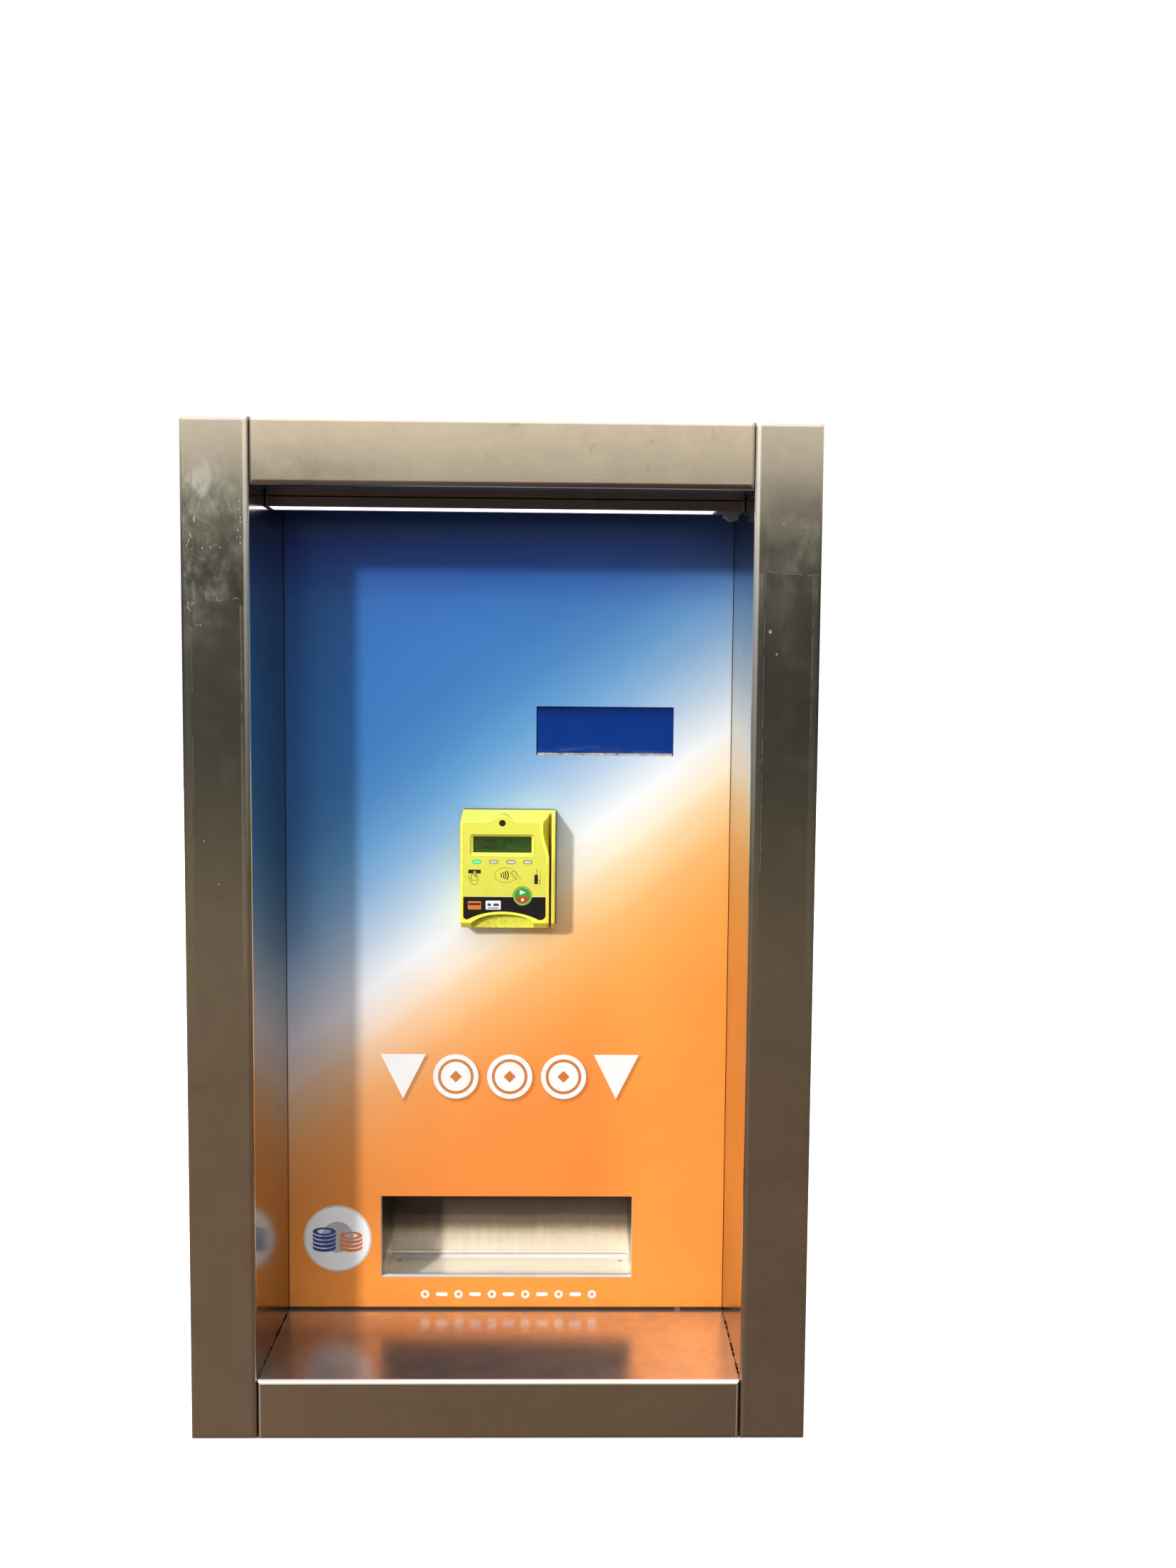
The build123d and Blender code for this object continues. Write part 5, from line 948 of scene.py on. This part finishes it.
piece("lcd_digits", me, lcd_dark, "root")

# ------------------------------------------------------------------------------- sticker
SX, SH = -186.3, 140.2
SY = -4.0 - 0.2 - 0.15 - 0.03
flat("sticker_rim", [[circle(SX, SH, 36.6, 72), circle(SX, SH, 35.9, 72)]], SY, 0.04, grey_ink)
flat("sticker_disc", [[circle(SX, SH + 1.5, 17.5, 64)]], SY, 0.03, ink("sticker_grey_ink", "#c4c2c3", 0.4, "#aeacad"))


def stack(cx, n, step):
    """Edges of a stack of tokens seen from above, as separate bands, and its top."""
    bands = []
    for k in range(n):
        h = SH - 10.5 + step * k
        lower = arc(cx, h, 4.6, 180, 360, 26, 2.75)
        upper = [(x, y + step * 0.72) for x, y in reversed(lower)]
        bands.append([lower + upper])
    top = SH - 10.5 + step * n
    bands.append([circle(cx, top, 4.6, 48, 12.65), circle(cx, top, 2.6, 36, 7.6)])
    return bands


flat("sticker_tokens_a", stack(SX - 14.6, 4, 4.6), SY - 0.035, 0.03, ink("token_blue_ink", "#2f5296", 0.4))
flat("sticker_tokens_b", stack(SX + 14.6, 3, 4.6), SY - 0.035, 0.03, ink("token_orange_ink", "#e88a4c", 0.4))

# the print runs a little past the plate at both sides
flat("film_overlap", [[[(e * 238.45, 62.6), (e * 239.55, 62.6), (e * 239.55, 934.4), (e * 238.45, 934.4)][::e]] for e in (-1, 1)],
     -4.1, 0.16, film_mat)

# ---------------------------------------------------------------------- sealant and marks
rng = random.Random(11)


def ribbon(name, path, widths, y, thick, mat):
    """An uneven smear along a path, crowned in the middle."""
    bm = bmesh.new()
    rows = []
    n = len(path)
    for i, (x, h) in enumerate(path):
        a, b = Vector(path[max(i - 1, 0)]), Vector(path[min(i + 1, n - 1)])
        d = (b - a).normalized()
        nrm = Vector((-d.y, d.x))
        w0, w1 = widths[i]
        row = []
        for t, lift in ((-1, 0.0), (-0.5, 0.75), (0.0, 1.0), (0.5, 0.75), (1, 0.0)):
            off = w0 * t if t < 0 else w1 * t
            row.append(bm.verts.new(((x + nrm.x * off) / 1000, (y - thick * lift) / 1000, up(h + nrm.y * off))))
        row += [bm.verts.new((row[4].co.x, y / 1000 + 0.00002, row[4].co.z)), bm.verts.new((row[0].co.x, y / 1000 + 0.00002, row[0].co.z))]
        rows.append(row)
    for r0, r1 in zip(rows, rows[1:]):
        m = len(r0)
        for k in range(m):
            bm.faces.new((r0[k], r0[(k + 1) % m], r1[(k + 1) % m], r1[k]))
    bm.faces.new(rows[0])
    bm.faces.new(list(reversed(rows[-1])))
    bmesh.ops.recalc_face_normals(bm, faces=bm.faces)
    me = bpy.data.meshes.new(name)
    bm.to_mesh(me)
    bm.free()
    return piece(name, me, mat, "root", True)


def wander(n, start, spread, low, high):
    out, v = [], start
    for _ in range(n):
        v = min(high, max(low, v + rng.uniform(-spread, spread)))
        out.append(v)
    return out


smear_mat = silicone("window_smear")
n = 70
w = wander(n, 0.9, 0.25, 0.35, 1.5)
w2 = wander(n, 0.8, 0.3, 0.2, 1.8)
path = [(31.5 + 144.5 * k / (n - 1), 677.0 + 0.35 * math.sin(k * 0.37) + 0.3 * math.sin(k * 0.113 + 1)) for k in range(n)]
ribbon("window_sealant_smear", path, list(zip(w, w2)), -1.93, 0.35, smear_mat)

# blobs of sealant in the joint at the foot of the panel and in the corners of the sill
blob_mat = silicone("sill_sealant")


def blob(name, centre, size, mat, seed):
    r = random.Random(seed)
    bm = bmesh.new()
    bmesh.ops.create_icosphere(bm, subdivisions=3, radius=1.0)
    ph = [r.uniform(0, 6.28) for _ in range(3)]
    for v in bm.verts:
        k = 1 + 0.16 * math.sin(3.1 * v.co.x + ph[0]) + 0.13 * math.sin(4.3 * v.co.z + ph[1]) + 0.1 * math.sin(5.1 * v.co.y + ph[2])
        v.co = Vector((centre[0] + v.co.x * k * size[0], centre[1] + v.co.y * k * size[1], centre[2] + v.co.z * k * size[2])) / 1000
    me = bpy.data.meshes.new(name)
    bm.to_mesh(me)
    bm.free()
    return me


merged = bmesh.new()
places = []
for k in range(34):
    side = -1 if k % 2 else 1
    yy = rng.uniform(-140, -8)
    places.append(((side * 239.3, yy, 500 * 0 + (60.3 - 500)), (0.5, rng.uniform(0.8, 3.2), rng.uniform(0.35, 0.8))))
for k in range(30):
    xx = rng.uniform(-232, 232)
    places.append(((xx, -5.2, 60.4 - 500), (rng.uniform(1.2, 5.5), 0.9, rng.uniform(0.5, 1.1))))
for i, (c, sz) in enumerate(places):
    me = blob("tmp", c, sz, blob_mat, 40 + i)
    merged.from_mesh(me)
    bpy.data.meshes.remove(me)
me = bpy.data.meshes.new("joint_sealant_blobs")
merged.to_mesh(me)
merged.free()
piece("joint_sealant_blobs", me, blob_mat, "root", True)

# remains of the protective film on the uprights
glue = ink("film_remains", "#77736a", 0.55, "#625f56")
FY = -154.0 - 0.012
strips = []


def strip(x0, h0, x1, h1, w, dashes=26, keep=0.8, seed=1):
    r = random.Random(seed)
    for k in range(dashes):
        if r.random() > keep:
            continue
        a, b = k / dashes, (k + r.uniform(0.75, 1.0)) / dashes
        jx = r.uniform(-0.12, 0.12)
        pa = (x0 + (x1 - x0) * a + jx, h0 + (h1 - h0) * a)
        pb = (x0 + (x1 - x0) * b + jx, h0 + (h1 - h0) * b)
        strips.append([stroke([pa, ((pa[0] + pb[0]) / 2 + r.uniform(-0.08, 0.08), (pa[1] + pb[1]) / 2), pb], w * r.uniform(0.7, 1.15))])


strip(-248.0, 822.5, -247.4, 470.0, 0.55, 34, 0.93, 1)
strip(-294.4, 817.0, -294.9, 560.0, 0.30, 30, 0.72, 2)
strip(254.2, 859.2, 296.0, 856.2, 0.50, 9, 0.9, 3)
strip(250.8, 858.6, 250.6, 560.0, 0.34, 34, 0.85, 4)
strip(297.5, 815.5, 297.3, 700.0, 0.30, 14, 0.7, 5)
flat("film_edge_lines", strips, FY, 0.02, glue)

# dried drips: little hooks, runs and dots on the left upright, a few on the right
splash = ink("dried_splashes", "#b5b2a6", 0.5, "#858274")
marks = []


def drip(x, h, length, width, seed):
    r = random.Random(seed)
    pts = [(x, h)]
    for k in range(6):
        pts.append((pts[-1][0] + r.uniform(-0.5, 0.5), pts[-1][1] - length / 6))
    marks.append([stroke(pts, width, True)])


for i, (x, h, ln, wd) in enumerate((
    (-290.4, 905.6, 5.2, 1.3), (-289.6, 908.2, 1.6, 0.9), (-294.6, 890.0, 4.6, 1.1), (-296.6, 885.4, 4.2, 0.9), (-297.4, 880.4, 3.0, 0.7),
    (-288.0, 911.0, 1.4, 0.6), (-284.0, 913.2, 1.0, 0.5), (-276.0, 877.8, 1.4, 0.9), (-283.4, 877.0, 1.8, 0.8), (-292.6, 876.0, 1.6, 0.7),
    (-266.5, 877.5, 1.2, 0.8), (-248.6, 921.0, 1.4, 0.9), (-248.4, 913.6, 1.6, 0.8), (-247.8, 906.0, 2.2, 1.0), (-247.8, 901.6, 1.6, 0.8),
    (-250.2, 894.0, 1.8, 0.8), (-248.0, 888.4, 2.6, 0.9), (-251.0, 886.8, 1.4, 0.6), (-247.6, 882.6, 2.0, 0.7), (-255.0, 912.4, 1.0, 0.6),
    (-298.2, 826.0, 1.6, 0.5), (-286.5, 804.2, 1.2, 0.9), (-289.5, 804.6, 1.0, 0.7), (-294.8, 801.0, 1.0, 0.5),
    (-284.2, 598.0, 0.9, 0.9), (-271.0, 556.0, 0.8, 0.8), (262.5, 781.8, 1.8, 1.2), (268.0, 905.0, 1.2, 0.6),
)):
    drip(x, h, ln, wd, 90 + i)
marks.append([stroke(arc(-292.8, 821.5, 5.0, 130, 250, 14), 0.6, True)])
marks.append([stroke(arc(-292.0, 822.0, 2.6, 60, 175, 10), 0.4, True)])
marks.append([stroke(arc(-268.0, 829.5, 2.6, 150, 300, 10), 0.35, True)])
marks.append([stroke(arc(-252.4, 826.0, 3.4, 40, 140, 10), 0.35, True)])
marks.append([circle(256.5, 802.4, 1.7, 20, 1.5), circle(256.6, 802.6, 0.7, 12)])
flat("dried_splashes", marks, FY, 0.02, splash)

# --------------------------------------------------------------------------- stage
cam_data = bpy.data.cameras.new("camera")
cam_data.lens = 29.153
cam_data.sensor_width = 36.0
cam_data.clip_start, cam_data.clip_end = 0.05, 60.0
cam = bpy.data.objects.new("camera", cam_data)
scene.collection.objects.link(cam)
right, upv, backv = Vector((0.99983, -0.01618, 0.00854)), Vector((-0.00742, 0.06782, 0.99767)), Vector((-0.01672, -0.99757, 0.06769))
pos = Vector((0.06287, -1.3728, 0.23788))
cam.matrix_world = Matrix((
    (right.x, upv.x, backv.x, pos.x), (right.y, upv.y, backv.y, pos.y), (right.z, upv.z, backv.z, pos.z), (0, 0, 0, 1)))
scene.camera = cam

floor_finish = Finish("studio_floor")
fn = floor_finish.noise(2.5, 3)
floor_finish.set(Base_Color=floor_finish.mix(floor_finish.span(fn, 0.3, 0.7), srgb("#f2f1ef"), srgb("#eeedeb")), Roughness=0.85)
floor_finish.feed(floor_finish.bsdf.inputs["Emission Color"], srgb("#ffffff"))
floor_finish.bsdf.inputs["Emission Strength"].default_value = 0.42
me = bpy.data.meshes.new("studio_floor")
bm = bmesh.new()
bmesh.ops.create_circle(bm, cap_ends=True, segments=64, radius=9.0)
bm.to_mesh(me)
bm.free()
floor = bpy.data.objects.new("studio_floor", me)
scene.collection.objects.link(floor)
floor.location = (0, 0, up(0) - 0.0006)
me.materials.append(floor_finish.mat)
floor.visible_glossy = False
floor.visible_diffuse = False

SUN_WAY = Vector((0.439, 0.823, -0.362))


def sun(name, energy, angle, colour, glossy, diffuse, only=None):
    data = bpy.data.lights.new(name, "SUN")
    data.energy = energy
    data.angle = math.radians(angle)
    data.color = colour
    ob = bpy.data.objects.new(name, data)
    scene.collection.objects.link(ob)
    ob.rotation_mode = "QUATERNION"
    ob.rotation_quaternion = SUN_WAY.to_track_quat("-Z", "Y")
    ob.visible_glossy = glossy
    ob.visible_diffuse = diffuse
    if only:
        coll = bpy.data.collections.new(name + "_receivers")
        for n in only:
            coll.objects.link(nodes[n])
        ob.light_linking.receiver_collection = coll
    return ob


sun("key_light", 2.0, 4.6, (1.0, 0.985, 0.955), False, True)
sun("key_glint", 0.55, 5.0, (1.0, 0.97, 0.92), True, False)
sun("tray_key", 2.2, 3.4, (1.0, 0.97, 0.90), True, True, ["delivery_tray"])

world = bpy.data.worlds.new("studio")
scene.world = world
world.use_nodes = True
nt = world.node_tree
nt.nodes.clear()
out = nt.nodes.new("ShaderNodeOutputWorld")
direction = nt.nodes.new("ShaderNodeTexCoord")
sep = nt.nodes.new("ShaderNodeSeparateXYZ")
nt.links.new(direction.outputs["Generated"], sep.inputs[0])
rng_node = nt.nodes.new("ShaderNodeMapRange")
rng_node.inputs[1].default_value, rng_node.inputs[2].default_value = -1.0, 1.0
nt.links.new(sep.outputs[2], rng_node.inputs[0])


def gradient(stops):
    ramp = nt.nodes.new("ShaderNodeValToRGB")
    nt.links.new(rng_node.outputs[0], ramp.inputs[0])
    e = ramp.color_ramp.elements
    while len(e) < len(stops):
        e.new(0.5)
    for el, (zz, col) in zip(e, stops):
        el.position = (zz + 1) / 2
        el.color = (col[0], col[1], col[2], 1)
    bg = nt.nodes.new("ShaderNodeBackground")
    nt.links.new(ramp.outputs[0], bg.inputs[0])
    return bg, ramp


# what the steel mirrors
mirror, mirror_ramp = gradient((
    (-1.00, (0.16, 0.12, 0.10)), (-0.52, (0.255, 0.178, 0.13)), (-0.33, (0.25, 0.17, 0.12)), (-0.19, (0.27, 0.212, 0.155)),
    (-0.115, (0.175, 0.158, 0.112)), (-0.04, (0.070, 0.076, 0.068)), (0.045, (0.050, 0.052, 0.048)), (0.095, (0.052, 0.052, 0.046)),
    (0.135, (0.115, 0.112, 0.098)), (0.168, (0.72, 0.67, 0.57)), (0.200, (1.20, 1.12, 0.95)), (0.40, (1.18, 1.12, 1.02)), (1.00, (0.80, 0.82, 0.86)),
))
side = nt.nodes.new("ShaderNodeMapRange")
side.inputs[1].default_value, side.inputs[2].default_value = -0.28, 0.24
side.inputs[3].default_value, side.inputs[4].default_value = 1.06, 0.76
nt.links.new(sep.outputs[0], side.inputs[0])
lift = nt.nodes.new("ShaderNodeMapRange")
lift.inputs[1].default_value, lift.inputs[2].default_value = 0.06, 0.17
nt.links.new(sep.outputs[2], lift.inputs[0])
even = nt.nodes.new("ShaderNodeMix")
nt.links.new(lift.outputs[0], even.inputs[0])
nt.links.new(side.outputs[0], even.inputs[2])
even.inputs[3].default_value = 1.02
nt.links.new(even.outputs[0], mirror.inputs[1])
# what lights the matt surfaces
fill, fill_ramp = gradient((
    (-1.00, (0.14, 0.13, 0.13)), (-0.35, (0.22, 0.20, 0.19)), (-0.05, (0.22, 0.215, 0.22)), (0.10, (0.45, 0.46, 0.48)),
    (0.25, (1.25, 1.28, 1.36)), (0.60, (1.75, 1.82, 1.98)), (1.00, (1.6, 1.7, 1.9)),
))
tilt = nt.nodes.new("ShaderNodeMapRange")
tilt.inputs[1].default_value, tilt.inputs[2].default_value = -0.9, 0.9
tilt.inputs[3].default_value, tilt.inputs[4].default_value = 1.5, 0.42
nt.links.new(sep.outputs[0], tilt.inputs[0])
nt.links.new(tilt.outputs[0], fill.inputs[1])
white = nt.nodes.new("ShaderNodeBackground")
white.inputs[0].default_value = (1, 1, 1, 1)
white.inputs[1].default_value = 1.0
path_node = nt.nodes.new("ShaderNodeLightPath")
by_glossy = nt.nodes.new("ShaderNodeMixShader")
nt.links.new(path_node.outputs["Is Glossy Ray"], by_glossy.inputs[0])
nt.links.new(fill.outputs[0], by_glossy.inputs[1])
nt.links.new(mirror.outputs[0], by_glossy.inputs[2])
mixer = nt.nodes.new("ShaderNodeMixShader")
nt.links.new(path_node.outputs["Is Camera Ray"], mixer.inputs[0])
nt.links.new(by_glossy.outputs[0], mixer.inputs[1])
nt.links.new(white.outputs[0], mixer.inputs[2])
nt.links.new(mixer.outputs[0], out.inputs["Surface"])

scene.view_settings.view_transform = "Standard"
scene.view_settings.look = "None"
scene.view_settings.exposure = 0.0
scene.view_settings.gamma = 1.0
